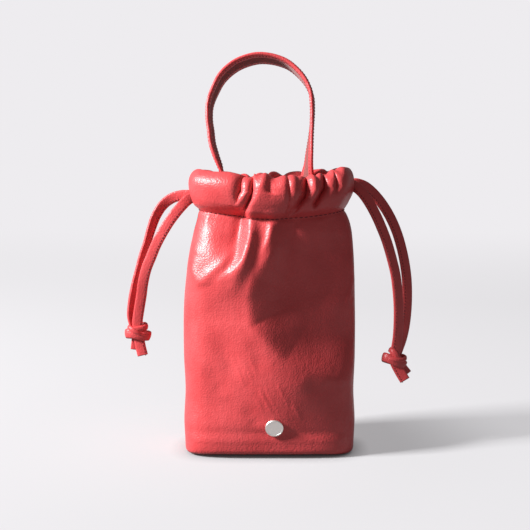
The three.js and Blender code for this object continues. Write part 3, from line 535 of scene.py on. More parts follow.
def body_rows(panel, u, inside):
    """The rows from the seam under the base up to the stitch line."""
    side = panel["side"]
    rows = []
    half_depth = float(station(0, DEEP)) * BODY_DEPTH / 2 - BASE_EDGE
    half_width = float(station(0, WIDE)) * BODY_WIDTH / 2 - BASE_EDGE
    square = float(station(0, SQUARE))
    lift = base_lift(panel, u)
    forward = 1 + FOOT_SHARE if panel["hollow"] else 1

    def add(x, y, z):
        rows.append(np.stack([x, -side * (y * forward - SEAM_GAP / 2), z], axis=-1))

    for reach in INNER_BASE_REACHES if inside else BASE_REACHES:
        x, y = outline_row(
            half_width - CORNER_TUCK * (1 - reach), max(half_depth * reach, 0.001), square, u
        )
        add(x, y, (LEATHER if inside else 0) + lift * reach**2)
    reach = BASE_EDGE - LEATHER if inside else BASE_EDGE
    steps = EDGE_ROWS // SKIP_ROWS if inside else EDGE_ROWS
    for i in range(1, steps + 1):
        angle = np.pi / 2 * i / steps
        inset = BASE_EDGE - reach * np.sin(angle) ** BASE_CORNER
        x, y = outline_row(
            half_width + BASE_EDGE - inset, half_depth + BASE_EDGE - inset, square, u
        )
        add(x, y, BASE_EDGE - reach * np.cos(angle) ** BASE_CORNER + lift)
    share = np.linspace(0, 1, WALL_ROWS + 1)[1:-1]
    if inside:
        share = share[::SKIP_ROWS]
    z = BASE_EDGE + share[:, None] * (stitch_height(u)[None, :] - BASE_EDGE)
    m = Middle(np.broadcast_to(u, z.shape), z)
    level = wall_level(panel, m)
    m.sink(hollow_depth(panel, m))
    if not inside:
        length = OUTLINES.length[0]
        depth, width = SEAM_GROOVE
        from_seam = np.minimum(m.u, 1 - m.u) * length
        level = level + LEATHER - depth * np.exp(-((from_seam / width) ** 2))
        level = level - stitch_groove(m)
    wall = m.off(side, level)
    wall[..., 2] += lift * (1 - smooth(BASE_EDGE, LIFT_TOP, m.z))
    rows.extend(wall)
    return rows


def slid(m, level):
    """How far each point slides along its row, towards the valley that it leans to."""
    run = np.hypot(np.gradient(m.x, axis=-1), np.gradient(m.y, axis=-1))
    slope = np.gradient(level, axis=-1) / np.maximum(run, 1e-3)
    ends = smooth(*SLIDE_ENDS, m.u) * smooth(*SLIDE_ENDS, 1 - m.u)
    return -CHOP * slope * ends


def casing_rows(panel, u, ups, outer, inside):
    """Rows of the casing's outer or inner layer, on its outside or inside the channel."""
    side = panel["side"]
    rim = rim_height(panel, u)
    z = stitch_height(u)[None, :] + np.asarray(ups)[:, None] * rim[None, :]
    m = Middle(np.broadcast_to(u, z.shape), z)
    level = casing_level(panel, m, outer)
    if outer and not inside:
        level = level - stitch_groove(m)
    slide = slid(m, level) * smooth(*SLIDE_FOOT, m.up) if outer else np.zeros_like(level)
    wall = (LEATHER * (-1 if outer else 1)) if inside else 0
    m.sink(hollow_depth(panel, m))
    return list(m.off(side, level + wall, slide))


def rim_rows(panel, u, angles, inside):
    """Rows round the folded edge, from the outer layer over to the inner one."""
    side = panel["side"]
    rim = rim_height(panel, u)
    m = Middle(u, stitch_height(u) + ROLL_START * rim)
    outer, inner = casing_level(panel, m, True), casing_level(panel, m, False)
    slide = slid(m, outer)
    m.sink(hollow_depth(panel, m))
    wall = LEATHER if inside else 0
    half = (outer - inner) / 2 - wall
    height = (1 - ROLL_START) * rim - wall
    rows = []
    for angle in angles:
        row = m.off(
            side, (outer + inner) / 2 + half * np.cos(angle), slide * (1 + np.cos(angle)) / 2
        )
        row[:, 2] += height * np.sin(angle)
        rows.append(row)
    return rows


def panel_mesh(panel):
    """Points, faces and which faces show the flesh side, for one folded and sewn panel."""
    u = column_places()
    outer_ups = np.linspace(0, ROLL_START, OUTER_ROWS)
    inner_ups = np.linspace(0, ROLL_START, INNER_ROWS)
    angles = np.linspace(0, np.pi, ROLL_ROWS + 2)[1:-1]
    outside = body_rows(panel, u, False)
    casing = (
        casing_rows(panel, u, outer_ups, True, False)
        + rim_rows(panel, u, angles, False)
        + casing_rows(panel, u, inner_ups[::-1], False, False)
    )
    inside = body_rows(panel, u, True)
    channel_ups = [v for v in inner_ups[::CHANNEL_SKIP] if v >= CHANNEL_START]
    channel = (
        casing_rows(panel, u, channel_ups, True, True)
        + rim_rows(panel, u, angles[::ROLL_SKIP], True)
        + casing_rows(panel, u, channel_ups[::-1], False, True)
    )
    loop = outside + casing + inside[::-1]
    points = np.concatenate(loop + channel)
    wide = COLUMNS + 1
    grid = np.arange(len(loop) * wide).reshape(len(loop), wide)
    tube = np.arange(len(channel) * wide).reshape(len(channel), wide) + grid.size
    faces, flesh = [], []

    def strips(rows, turned, fleshy):
        n = len(rows)
        for i in range(n):
            low, high = rows[i], rows[(i + 1) % n]
            quads = np.stack([low[:-1], low[1:], high[1:], high[:-1]], axis=-1)
            quads = quads[:, ::-1] if turned else quads
            faces.extend(quads.tolist())
            flesh.extend([fleshy(i)] * len(quads))

    top = len(outside) + len(casing)
    strips(grid, False, lambda i: int(i >= top - 1))
    strips(tube, True, lambda i: 1)

    last = len(loop) - 1
    n = len(outside)
    # Rows of the outside that face a row of the inside, at the cut edges
    base = len(BASE_REACHES)
    paired = [0, 2, 4] + [base - 1 + k * SKIP_ROWS for k in (1, 2, 3)]
    paired += list(range(base + EDGE_ROWS, n, SKIP_ROWS))
    partners = [last - k for k in range(len(paired))]
    paired.append(n)
    partners.append(top - 1)
    outer_at = [int(np.argmin(np.abs(outer_ups - v))) + n for v in channel_ups]
    rim_at = [n + len(outer_ups) + k for k in range(0, len(angles), ROLL_SKIP)]
    inner_at = [
        n + len(outer_ups) + len(angles) + int(np.argmin(np.abs(inner_ups[::-1] - v)))
        for v in channel_ups[::-1]
    ]
    across = outer_at + rim_at + inner_at
    for end in (0, -1):
        def add(*corners):
            corners = [int(c[end]) for c in corners]
            faces.append(corners[::-1] if end else corners)
            flesh.append(1)

        for (a, b), (c, d) in zip(zip(paired, paired[1:]), zip(partners, partners[1:])):
            add(*[grid[r] for r in range(a, b + 1)], grid[d], grid[c])
        for k, (a, b) in enumerate(zip(across, across[1:])):
            add(*[grid[r] for r in range(a, b + 1)], tube[k + 1], tube[k])
        add(*[grid[r] for r in range(n, across[0] + 1)], tube[0])
        add(grid[n], tube[0], tube[-1], grid[top - 1])
        add(tube[-1], *[grid[r] for r in range(across[-1], top)])
    if panel["side"] > 0:
        faces = [f[::-1] for f in faces]
    return points, faces, flesh


def linear(code):
    """A linear colour from an sRGB hex code."""
    parts = [int(code[i : i + 2], 16) / 255 for i in (1, 3, 5)]
    return tuple(c / 12.92 if c <= 0.04045 else ((c + 0.055) / 1.055) ** 2.4 for c in parts)


def add_node(tree, kind, values=None, links=None, **settings):
    """Adds a node with its settings, the values of its inputs, and links into its inputs."""
    node = tree.nodes.new(kind)
    for key, value in settings.items():
        setattr(node, key, value)
    for key, value in (values or {}).items():
        node.inputs[key].default_value = value
    for key, socket in (links or {}).items():
        tree.links.new(socket, node.inputs[key])
    return node


def new_material(name):
    """An empty material, with its tree."""
    material = bpy.data.materials.new(name)
    material.use_nodes = True
    material.node_tree.nodes.clear()
    return material, material.node_tree


def noise(tree, place, width, detail, distortion=0.0):
    """A noise whose patches are about width metres wide."""
    values = {"Scale": 1 / width, "Detail": detail, "Distortion": distortion}
    return add_node(tree, "ShaderNodeTexNoise", values, {"Vector": place}).outputs["Fac"]


def ramp(tree, value, span, ends, **settings):
    """Takes a value from one span to another."""
    values = {"From Min": span[0], "From Max": span[1], "To Min": ends[0], "To Max": ends[1]}
    return add_node(tree, "ShaderNodeMapRange", values, {"Value": value}, **settings).outputs[0]


def bump(tree, height, strength, distance, under=None):
    """A bump after a height map, distance mm high, on top of the bump under it."""
    links = {"Height": height}
    if under is not None:
        links["Normal"] = under
    values = {"Strength": strength, "Distance": distance * MM}
    return add_node(tree, "ShaderNodeBump", values, links).outputs[0]


def add_surface(tree, values, links):
    """The shader and the output that a finish ends with."""
    shader = add_node(tree, "ShaderNodeBsdfPrincipled", values, links)
    add_node(tree, "ShaderNodeOutputMaterial", None, {"Surface": shader.outputs[0]})


def mixed(tree, share, first, second):
    """A mix of two shaders, by the share of the second."""
    return add_node(
        tree, "ShaderNodeMixShader", None, {0: share, 1: first, 2: second}
    ).outputs[0]


def seen_share(tree, rays, full, in_gloss):
    """1 for the rays that see a thing in full, and a share of it in reflections."""
    return add_node(
        tree, "ShaderNodeMath", {1: in_gloss}, {0: rays["Is Glossy Ray"], 2: full},
        operation="MULTIPLY_ADD",
    ).outputs[0]


# The finish of the leather. The grain's patches are in widths of a pebble, and a bump has its
# strength and its height in mm.
SOFT_WIDTH = 4
BROAD_WIDTH = 16
WRINKLE_WIDTH = 3.2
WRINKLE_TURN = -28  # degrees off the hang of the leather
WRINKLE_STRETCH = 0.22
SOFT_BUMP = (0.24, 0.8)
WRINKLE_BUMP = (0.36, 0.5)
GRAIN_BUMP = (0.6, 0.28)
PATCH_SPAN = (0.3, 0.7)  # the middle of a noise, which is spread over a whole range
GLAZE_ROUGHNESS = (0.34, 0.46)
NAP_BUMP = (0.7, 0.3)
NAP_STOPS = (0.35, 0.65)

# The finish of the thread and the plated steel
TWIST_PITCH = 2.2 * MM
TWIST_BUMP = (0.5, 0.1)
MARK_WIDTH = 0.5 * MM
MARK_BUMP = (0.08, 0.05)
METAL_ROUGHNESS = (0.36, 0.5)


def grain_leather(sizes, colours):
    """Grain side of a drum-dyed, glazed leather: fine pebbles, soft creases, a waxy gloss."""
    material, tree = new_material("glazed_red_leather")
    place = add_node(tree, "ShaderNodeTexCoord").outputs["Object"]
    grain = add_node(
        tree, "ShaderNodeTexVoronoi", {"Scale": 1 / sizes.grain, "Smoothness": 0.6},
        {"Vector": place}, feature="SMOOTH_F1",
    )
    soft = noise(tree, place, SOFT_WIDTH * sizes.grain, 5.0)
    broad = noise(tree, place, BROAD_WIDTH * sizes.grain, 3.0)
    # Hair-fine wrinkles, stretched along the hang of the leather
    hang = add_node(
        tree, "ShaderNodeMapping",
        {"Rotation": (0, math.radians(WRINKLE_TURN), 0), "Scale": (1, 1, WRINKLE_STRETCH)},
        {"Vector": place},
    )
    wrinkle = noise(tree, hang.outputs[0], WRINKLE_WIDTH * sizes.grain, 4.0, 0.6)
    colour = add_node(tree, "ShaderNodeMix", data_type="RGBA")
    for key, value in (("A", colours.leather_deep), ("B", colours.leather)):
        socket = [s for s in colour.inputs if s.name == key and s.type == "RGBA"][0]
        socket.default_value = (*value, 1)
    tree.links.new(ramp(tree, broad, PATCH_SPAN, (0, 1)), colour.inputs["Factor"])
    normal = bump(tree, soft, *SOFT_BUMP)
    normal = bump(tree, wrinkle, *WRINKLE_BUMP, normal)
    normal = bump(tree, grain.outputs["Distance"], *GRAIN_BUMP, normal)
    add_surface(tree, {"IOR": 1.48, "Coat Weight": 0.0}, {
        "Base Color": [s for s in colour.outputs if s.type == "RGBA"][0],
        "Roughness": ramp(tree, soft, PATCH_SPAN, GLAZE_ROUGHNESS),
        "Normal": normal,
    })
    return material


def flesh_leather(sizes, colours):
    """Flesh side of the same leather: short suede nap, dull and brownish."""
    material, tree = new_material("suede_flesh_side")
    place = add_node(tree, "ShaderNodeTexCoord").outputs["Object"]
    nap = noise(tree, place, sizes.grain, 6.0)
    shades = add_node(tree, "ShaderNodeValToRGB", None, {"Fac": nap})
    stops = shades.color_ramp.elements
    for stop, colour, position in zip(stops, (colours.suede_dark, colours.suede), NAP_STOPS):
        stop.color = (*colour, 1)
        stop.position = position
    add_surface(
        tree, {"Roughness": 0.92, "IOR": 1.45, "Sheen Weight": 0.25, "Sheen Roughness": 0.5},
        {"Base Color": shades.outputs["Color"], "Normal": bump(tree, nap, *NAP_BUMP)},
    )
    return material


def waxed_thread(colours):
    """Bonded polyester sewing thread, dyed a shade darker than the leather."""
    material, tree = new_material("bonded_polyester_thread")
    place = add_node(tree, "ShaderNodeTexCoord").outputs["Object"]
    twist = add_node(
        tree, "ShaderNodeTexWave", {"Scale": 1 / TWIST_PITCH, "Distortion": 1.0},
        {"Vector": place}, bands_direction="DIAGONAL",
    )
    add_surface(
        tree, {"Base Color": (*colours.thread, 1), "Roughness": 0.55},
        {"Normal": bump(tree, twist.outputs["Fac"], *TWIST_BUMP)},
    )
    return material


def nickel_plate(colours):
    """Nickel-plated steel with a satin face: pale, with a broad sheen and the faintest marks."""
    material, tree = new_material("polished_nickel_plate")
    place = add_node(tree, "ShaderNodeTexCoord").outputs["Object"]
    marks = noise(tree, place, MARK_WIDTH, 3.0)
    rough = ramp(tree, marks, (0, 1), METAL_ROUGHNESS)
    add_surface(
        tree, {"Base Color": (*colours.metal, 1), "Metallic": 1.0},
        {"Roughness": rough, "Normal": bump(tree, marks, *MARK_BUMP)},
    )
    return material


def make_piece(name, points, faces, materials, which=None):
    """A finished piece from points in mm."""
    mesh = bpy.data.meshes.new(name)
    mesh.from_pydata((np.asarray(points) * MM).tolist(), [], faces)
    for material in materials:
        mesh.materials.append(material)
    if which is not None:
        mesh.polygons.foreach_set("material_index", which)
    return place_mesh(name, mesh)


def place_mesh(name, mesh):
    """Smooths a mesh and adds it as a piece that rides on the pouch's body."""
    mesh.polygons.foreach_set("use_smooth", [True] * len(mesh.polygons))
    mesh.update()
    piece = bpy.data.objects.new(name, mesh)
    bpy.context.scene.collection.objects.link(piece)
    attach(piece, BODY)
    return piece


def spline(points, count):
    """count points on a smooth curve through some points, at even shares between them."""
    p = np.asarray(points, float)
    p = np.vstack([2 * p[0] - p[1], p, 2 * p[-1] - p[-2]])
    t = np.linspace(0, len(points) - 1, count)
    i = np.minimum(t.astype(int), len(points) - 2)
    f = (t - i)[:, None]
    a, b, c, d = p[i], p[i + 1], p[i + 2], p[i + 3]
    return 0.5 * (
        2 * b + (c - a) * f + (2 * a - 5 * b + 4 * c - d) * f**2 + (3 * b - a - 3 * c + d) * f**3
    )


def unit(v):
    """Vectors of length 1 in the same directions."""
    return v / np.maximum(np.linalg.norm(v, axis=-1, keepdims=True), 1e-9)


def strip_section(width, thickness, crown=0.25, edge=5, flat=6, bluff=1.0):
    """A folded strip's section: round edges and slightly crowned faces, thick along x. A bluff
    under 1 makes its edges flatter than round."""
    radius = thickness / 2
    reach = radius * bluff
    half = width / 2 - reach
    points = []
    for i in range(edge + 1):
        angle = math.pi * i / edge
        points.append((radius * math.cos(angle), half + reach * math.sin(angle)))
    for i in range(1, flat):
        y = half - 2 * half * i / flat
        points.append((-radius - crown * (1 - (y / half) ** 2), y))
    one_half = np.array(points)
    return np.concatenate([one_half, -one_half])


def sweep(centres, widths, section, closed=False, shrink=None):
    """Sweeps a section along a line. widths are the directions of the section's y."""
    centres = np.asarray(centres, float)
    if closed:
        along = unit(np.roll(centres, -1, axis=0) - np.roll(centres, 1, axis=0))
    else:
        along = unit(np.gradient(centres, axis=0))
    across = np.asarray(widths, float)
    across = unit(across - (across * along).sum(axis=1, keepdims=True) * along)
    through = np.cross(along, across)
    size = np.ones(len(centres)) if shrink is None else shrink
    scaled = section[None, :, :] * size[:, None, None]
    points = (
        centres[:, None, :]
        + through[:, None, :] * scaled[:, :, 0:1]
        + across[:, None, :] * scaled[:, :, 1:2]
    )
    n, k = len(centres), len(section)
    faces = []
    for i in range(n if closed else n - 1):
        j = (i + 1) % n
        for a in range(k):
            b = (a + 1) % k
            faces.append((i * k + a, j * k + a, j * k + b, i * k + b))
    if not closed:
        faces.append(tuple(range(k)))
        faces.append(tuple((n - 1) * k + a for a in reversed(range(k))))
    return points.reshape(-1, 3), faces


def joined(*parts):
    """Several meshes as one list of points and one of faces."""
    points, faces, start = [], [], 0
    for p, f in parts:
        points.append(np.asarray(p))
        faces.extend([tuple(c + start for c in face) for face in f])
        start += len(p)
    return np.concatenate(points), faces


# Each strand from its tail up to its slit, near the solids' own, in mm
LEFT_FRONT = [
    (-96.4, -3.4, 73), (-98.2, -2.6, 80.5), (-99.8, -1.9, 90), (-100.2, -1.9, 98.6),
    (-98.7, -2.3, 108.5), (-96.8, -3, 119.2), (-95.3, -4, 129.1), (-92.6, -5, 139.8),
    (-88.8, -6, 149), (-85, -6.8, 158.1), (-80.5, -7.3, 166.5), (-75.4, -7.4, 174.8),
    (-70.6, -6.8, 181.4), (-66, -5.4, 186.8), (-61.3, -3.4, 191.4), (-56.6, -2.2, 193.8),
    (-53, -3.7, 194),
]
LEFT_BACK = [
    (-102.2, 1.6, 76.5), (-101.4, 1.7, 83), (-101.2, 1.7, 90), (-103.4, 1.9, 96.5),
    (-105.1, 2.6, 103.9), (-104.3, 3.6, 115.4), (-102.4, 4.6, 126), (-99.4, 5.4, 137.5),
    (-96.4, 6.2, 148.2), (-92.6, 6.8, 158.9), (-89.6, 7.2, 168.8), (-85.8, 7.3, 178.7),
    (-80.6, 7.1, 186.6), (-74, 6.2, 191.8), (-67, 4.4, 194.2), (-61, 2.8, 194.6),
    (-56.6, 2.3, 194.3), (-53, 3.8, 194),
]
RIGHT_FRONT = [
    (103.4, -3.4, 53.6), (99.2, -2.6, 60.6), (95.4, -1.9, 69), (96.6, -1.9, 78.7),
    (97.6, -2.4, 87.9), (97.9, -3.2, 98.6), (97.6, -4.2, 110.8), (96.5, -5.2, 123),
    (94.6, -6.2, 136), (91.5, -7, 148.2), (87.8, -7.5, 160.4), (83.6, -7.7, 171.1),
    (79, -7.4, 181.2), (74, -6.4, 190.2), (68.6, -4.4, 197.6), (63, -2.4, 202),
    (59, -3.7, 203),
]
RIGHT_BACK = [
    (105.4, 2.6, 57.2), (101.2, 2, 62.6), (96.4, 1.9, 69.4), (98.4, 1.9, 76.6),
    (101.2, 2.2, 85), (103.3, 3, 94.7), (104.6, 4, 106.2), (105, 5, 118.4),
    (104.5, 5.8, 130.6), (102.8, 6.4, 142.8), (100, 6.8, 155.1), (96.4, 7.1, 166.5),
    (91.6, 7.2, 177.2), (85.6, 7, 187), (78.8, 6.2, 195.2), (72.2, 4.4, 200.8),
    (66.4, 2.7, 203.2), (62.4, 2.3, 203.4), (59, 3.8, 203),
]
# name, route, how far its broad face turns from the front towards the right along the route in
# degrees (tail to slit), and which of its edges the stitches run along
STRANDS = [
    ("left_front_strand", LEFT_FRONT, (0, 0, 0, -8, -12, -8, 0), 1),
    ("left_back_strand", LEFT_BACK, (0, 30, 58, 56, 30, 10, 4), 1),
    ("right_front_strand", RIGHT_FRONT, (0, 10, 18, 24, 24, 18, 4), -1),
    ("right_back_strand", RIGHT_BACK, (0, 10, 18, 24, 24, 18, 4), -1),
]


def strand_frame(route, turns):
    """A strand's middle line and the directions of its width."""
    line = spline(route, STRAND_STEPS)
    turn = np.radians(spline([(t, 0, 0) for t in turns], STRAND_STEPS)[:, 0])
    along = unit(np.gradient(line, axis=0))
    facing = np.stack([np.sin(turn), -np.cos(turn), np.zeros_like(turn)], axis=1)
    return line, unit(np.cross(along, facing))


def casing_run(height, sign):
    """A drawstring's run in both casings, from a slit to its closed end at the far one."""
    places = np.linspace(*RUN_SPAN, RUN_STEPS)
    at = places if sign > 0 else 1 - places
    m = Middle(at, np.full_like(at, height))
    home = m.off(1, -pinched(m))
    m.sink(hollow_depth(FRONT, m))
    out = m.off(-1, -pinched(m))
    slit = Middle(np.array([1.0 if sign > 0 else 0.0]), np.array([height]))
    over = np.linspace(-TURN_SHARE, TURN_SHARE, TURN_STEPS)
    turn = np.stack([
        slit.x[0] - pinched(slit)[0] + sign * CORD_TURN * (1 - over**2), over * SLIT_GAP / 2,
        np.full_like(over, height),
    ], axis=1)
    return np.concatenate([out, turn, home[::-1]])


# The knots: bands of the strip round both strands. A band is its centre's height over the
# knot's, half its size across and front to back, its tilts sideways and forwards in degrees,
# and the strip's width in it.
LEFT_KNOT = {
    "name": "left_knot", "centre": (-100.6, 0, 89.6), "tilt": 2,
    "bands": [
        (-1.2, 8.6, 4.4, 4, -8, 7.0), (3.8, 6.6, 3.8, -16, 6, 5.0), (1.6, 7.2, 4.9, 24, 4, 4.2),
    ],
}
RIGHT_KNOT = {
    "name": "right_knot", "centre": (95.4, 0, 69.2), "tilt": 28,
    "bands": [
        (-1.4, 8.4, 4.4, -6, -8, 7.0), (3.6, 6.6, 3.8, 18, 6, 5.2), (0.9, 7.4, 4.9, -28, 4, 4.4),
    ],
}


def turned(points, axis, degrees):
    """Points turned about an axis through the origin."""
    matrix = np.array(Matrix.Rotation(math.radians(degrees), 3, axis))
    return points @ matrix.T


def knot_mesh(knot):
    """A knot's bands, each a closed loop of the strip that is a little wavy and out of round."""
    parts = []
    angle = np.linspace(0, 2 * np.pi, KNOT_STEPS + 1)[:-1]
    wave = 1 + KNOT_WAVE * np.cos(3 * angle)
    for rise, half_x, half_y, roll, pitch, width in knot["bands"]:
        centres = np.stack([
            half_x * np.cos(angle) * wave, half_y * np.sin(angle) * wave,
            KNOT_RISE * np.sin(2 * angle),
        ], axis=1)
        widths = np.tile([0.0, 0.0, 1.0], (len(angle), 1))
        widths[:, 0] = KNOT_FLARE * np.cos(angle)
        centres = turned(turned(centres, "X", pitch), "Y", roll) + [0, 0, rise]
        widths = turned(turned(widths, "X", pitch), "Y", roll)
        section = strip_section(width, CORD_THICKNESS, 0.3)
        parts.append(sweep(centres, widths, section, closed=True))
    points, faces = joined(*parts)
    return turned(points, "Y", knot["tilt"]) + np.array(knot["centre"]), faces


# The strap's middle line, from its left end to its right one: where it is sewn on (-1 left, 1
# right), or else its place across over half the span, its rise from its ends (0) to its top (1),
# its depth behind the bag's middle in mm (None where it lies on the back panel), and its turn.
STRAP_STATIONS = [
    (-1, None, 0, None, None), (-1, None, 0.055, None, None), (-1, None, 0.1, None, None),
    (0, -0.55, 0.165, None, -98), (0, -0.575, 0.234, None, -76), (0, -0.615, 0.303, None, -44),
    (0, -0.672, 0.371, None, -16), (0, -0.733, 0.44, None, 0), (0, -0.815, 0.502, 2.4, 5),
    (0, -0.88, 0.564, 5.0, 7), (0, -0.909, 0.626, 7.8, 8), (0, -0.938, 0.688, 10.6, 8),
    (0, -0.93, 0.757, 13.8, 9), (0, -0.85, 0.825, 17.0, 10), (0, -0.703, 0.901, 20.4, 10),
    (0, -0.47, 0.959, 23.2, 10), (0, -0.204, 0.991, 24.6, 10), (0, 0.04, 1, 25.0, 10),
    (0, 0.318, 0.987, 24.4, 10), (0, 0.56, 0.955, 23.0, 9), (0, 0.79, 0.891, 20.4, 8),
    (0, 0.919, 0.819, 17.6, 7), (0, 0.945, 0.743, 15.0, 5), (0, 0.935, 0.66, 12.4, 2),
    (0, 0.91, 0.578, 10.0, -3), (0, 0.885, 0.502, 8.2, -10), (0, 0.873, 0.44, None, -16),
    (0, 0.862, 0.371, None, -33), (0, 0.856, 0.303, None, -50), (0, 0.86, 0.234, None, -64),
    (0, 0.863, 0.165, None, -72), (1, None, 0.1, None, None), (1, None, 0.055, None, None),
    (1, None, 0, None, None),
]


def place_at(panel, x, z, level):
    """The place on a panel at some x and height, on a face level(m) off its line."""
    low, high = 0.0, 1.0
    for _ in range(HALVINGS):
        u = (low + high) / 2
        m = Middle(np.array([u]), np.array([float(z)]))
        point = m.off(panel["side"], level(m))[0]
        if point[0] < x:
            low = u
        else:
            high = u
    return point


def inner_depth(x, z):
    """How far behind the bag's middle the back panel's inner face lies."""
    def level(m):
        if m.up[0] > 0:
            return casing_level(BACK, m, False)
        return fold_height(BACK, m.across, m.up)

    return place_at(BACK, x, z, level)[1]


def seat_depth(x, z, turn):
    """How far back the strap's middle lies where it rests on the back panel's inner face."""
    over = (math.sin(turn) * STRAP_WIDTH / 2, math.cos(turn) * STRAP_WIDTH / 2)
    rest = [inner_depth(x + s * over[0], z) - s * over[1] for s in (-1, -0.5, 0, 0.5, 1)]
    return min(rest) - SEWN_GAP - STRAP_THICKNESS / 2


def strap_frame():
    """The strap's middle line and the directions of its width."""
    tip = math.radians(STRAP_TIP)
    root = SEAM_HEIGHT - STRAP_DROP
    top = SEAM_HEIGHT + STRAP_RISE - STRAP_THICKNESS / 2 - STRAP_WIDTH / 2 * math.sin(tip)
    centres, widths = [], []
    for sewn, across, rise, back, turn in STRAP_STATIONS:
        z = root + rise * (top - root)
        x = sewn * STRAP_ROOT_SPAN / 2 if sewn else STRAP_LEAN + across * STRAP_SPAN / 2
        if sewn:
            half = STRAP_WIDTH / 2
            slope = inner_depth(x + half, z) - inner_depth(x - half, z)
            angle = math.atan2(-STRAP_WIDTH, -slope)
        else:
            angle = math.radians(turn)
        drop = tip * float(smooth(*STRAP_TIP_SPAN, rise))
        centres.append((x, seat_depth(x, z, angle) if back is None else back, z))
        widths.append(
            (math.sin(angle), math.cos(angle) * math.cos(drop), -math.sin(drop))
        )
    return spline(centres, STRAP_STEPS), spline(widths, STRAP_STEPS)


# How much a stitch may be smaller and larger than the set one, the last value along the row
STITCH_LEAST = (0.92, 0.92, 0.86)
STITCH_MOST = (1.06, 1.06, 1.08)


def stitch_tree():
    """Geometry Nodes that lay one small stitch after another along a curve."""
    tree = bpy.data.node_groups.new("stitch_row", "GeometryNodeTree")
    sockets = {}
    for name, kind in (
        ("Geometry", "NodeSocketGeometry"), ("Pitch", "NodeSocketFloat"),
        ("Stitch length", "NodeSocketFloat"), ("Thread width", "NodeSocketFloat"),
        ("Seed", "NodeSocketInt"), ("Material", "NodeSocketMaterial"),
    ):
        socket = tree.interface.new_socket(name=name, in_out="INPUT", socket_type=kind)
        sockets[name] = socket.identifier
    tree.interface.new_socket(name="Geometry", in_out="OUTPUT", socket_type="NodeSocketGeometry")
    given = add_node(tree, "NodeGroupInput").outputs
    points = add_node(
        tree, "GeometryNodeCurveToPoints", None,
        {"Curve": given["Geometry"], "Length": given["Pitch"]}, mode="LENGTH",
    )
    bead = add_node(tree, "GeometryNodeMeshUVSphere", {"Segments": 8, "Rings": 6, "Radius": 0.5})
    size = add_node(
        tree, "ShaderNodeCombineXYZ", None,
        {"X": given["Thread width"], "Y": given["Thread width"], "Z": given["Stitch length"]},
    )
    shaped = add_node(
        tree, "GeometryNodeTransform", None,
        {"Geometry": bead.outputs["Mesh"], "Scale": size.outputs[0]},
    )
    vary = add_node(
        tree, "FunctionNodeRandomValue", {0: STITCH_LEAST, 1: STITCH_MOST},
        {"Seed": given["Seed"]}, data_type="FLOAT_VECTOR",
    )
    row = add_node(
        tree, "GeometryNodeInstanceOnPoints", None,
        {
            "Points": points.outputs["Points"], "Instance": shaped.outputs[0],
            "Rotation": points.outputs["Rotation"], "Scale": vary.outputs[0],
        },
    )
    real = add_node(tree, "GeometryNodeRealizeInstances", None, {"Geometry": row.outputs[0]})
    done = add_node(
        tree, "GeometryNodeSetMaterial", None,
        {"Geometry": real.outputs[0], "Material": given["Material"]},
    )
    add_node(tree, "NodeGroupOutput", None, {"Geometry": done.outputs[0]})
    return tree, sockets


def stitch_row(name, lines, pitch, length, width, material, seed):
    """Stitches along some lines in mm, as one plain mesh."""
    curve = bpy.data.curves.new(name, "CURVE")
    curve.dimensions = "3D"
    for line in lines:
        line = np.asarray(line) * MM
        part = curve.splines.new("POLY")
        part.points.add(len(line) - 1)
        part.points.foreach_set("co", np.column_stack([line, np.ones(len(line))]).ravel())
    guide = bpy.data.objects.new(name + "_guide", curve)
    bpy.context.scene.collection.objects.link(guide)
    tree, sockets = stitch_tree()
    modifier = guide.modifiers.new("stitches", "NODES")
    modifier.node_group = tree
    modifier[sockets["Pitch"]] = pitch
    modifier[sockets["Stitch length"]] = length
    modifier[sockets["Thread width"]] = width
    modifier[sockets["Seed"]] = seed
    modifier[sockets["Material"]] = material
    graph = bpy.context.evaluated_depsgraph_get()
    mesh = bpy.data.meshes.new_from_object(guide.evaluated_get(graph))
    mesh.name = name
    guide.modifiers.remove(modifier)
    bpy.data.objects.remove(guide)
    return place_mesh(name, mesh)


def length_setting(name, description, default, least=0.0):
    """A length in metres for the pouch's panel."""
    return bpy.props.FloatProperty(
        name=name, description=description, default=default, min=least, subtype="DISTANCE",
        unit="LENGTH",
    )


def colour_setting(name, description, code):
    """A colour for the pouch's panel, from its sRGB hex code."""
    return bpy.props.FloatVectorProperty(
        name=name, description=description, default=linear(code), subtype="COLOR", min=0, max=1
    )


class PouchSizes(bpy.types.PropertyGroup):
    """The sizes of the finish."""

    grain: length_setting("Grain", "Width of one pebble of the grain", 1.2 * MM, 0.2 * MM)
    casing_pitch: length_setting("Casing stitch", "Stitch to stitch on the casing", 3.7 * MM)
    strap_pitch: length_setting("Strap stitch", "Stitch to stitch on the strap", 2.4 * MM)
    cord_pitch: length_setting("Cord stitch", "Stitch to stitch on a drawstring", 2.4 * MM)
    thread: length_setting("Thread", "Width of the sewing thread", 0.55 * MM)


class PouchColours(bpy.types.PropertyGroup):
    """The colours of the finish."""

    leather: colour_setting("Leather", "Dyed grain side", "#DC5053")
    leather_deep: colour_setting("Leather, deep", "Where the dye is denser", "#D04548")
    suede: colour_setting("Suede", "Flesh side", "#9A4C49")
    suede_dark: colour_setting("Suede, dark", "Flesh side between the nap", "#7C3836")
    thread: colour_setting("Thread", "Sewing thread", "#741A20")
    metal: colour_setting("Metal", "Plated stud", "#F2F0EB")
    floor: colour_setting("Floor", "Floor under the pouch", "#CAC9CB")
    backdrop: colour_setting("Backdrop", "What the camera sees behind the pouch", "#EEECEF")


finishes = {}


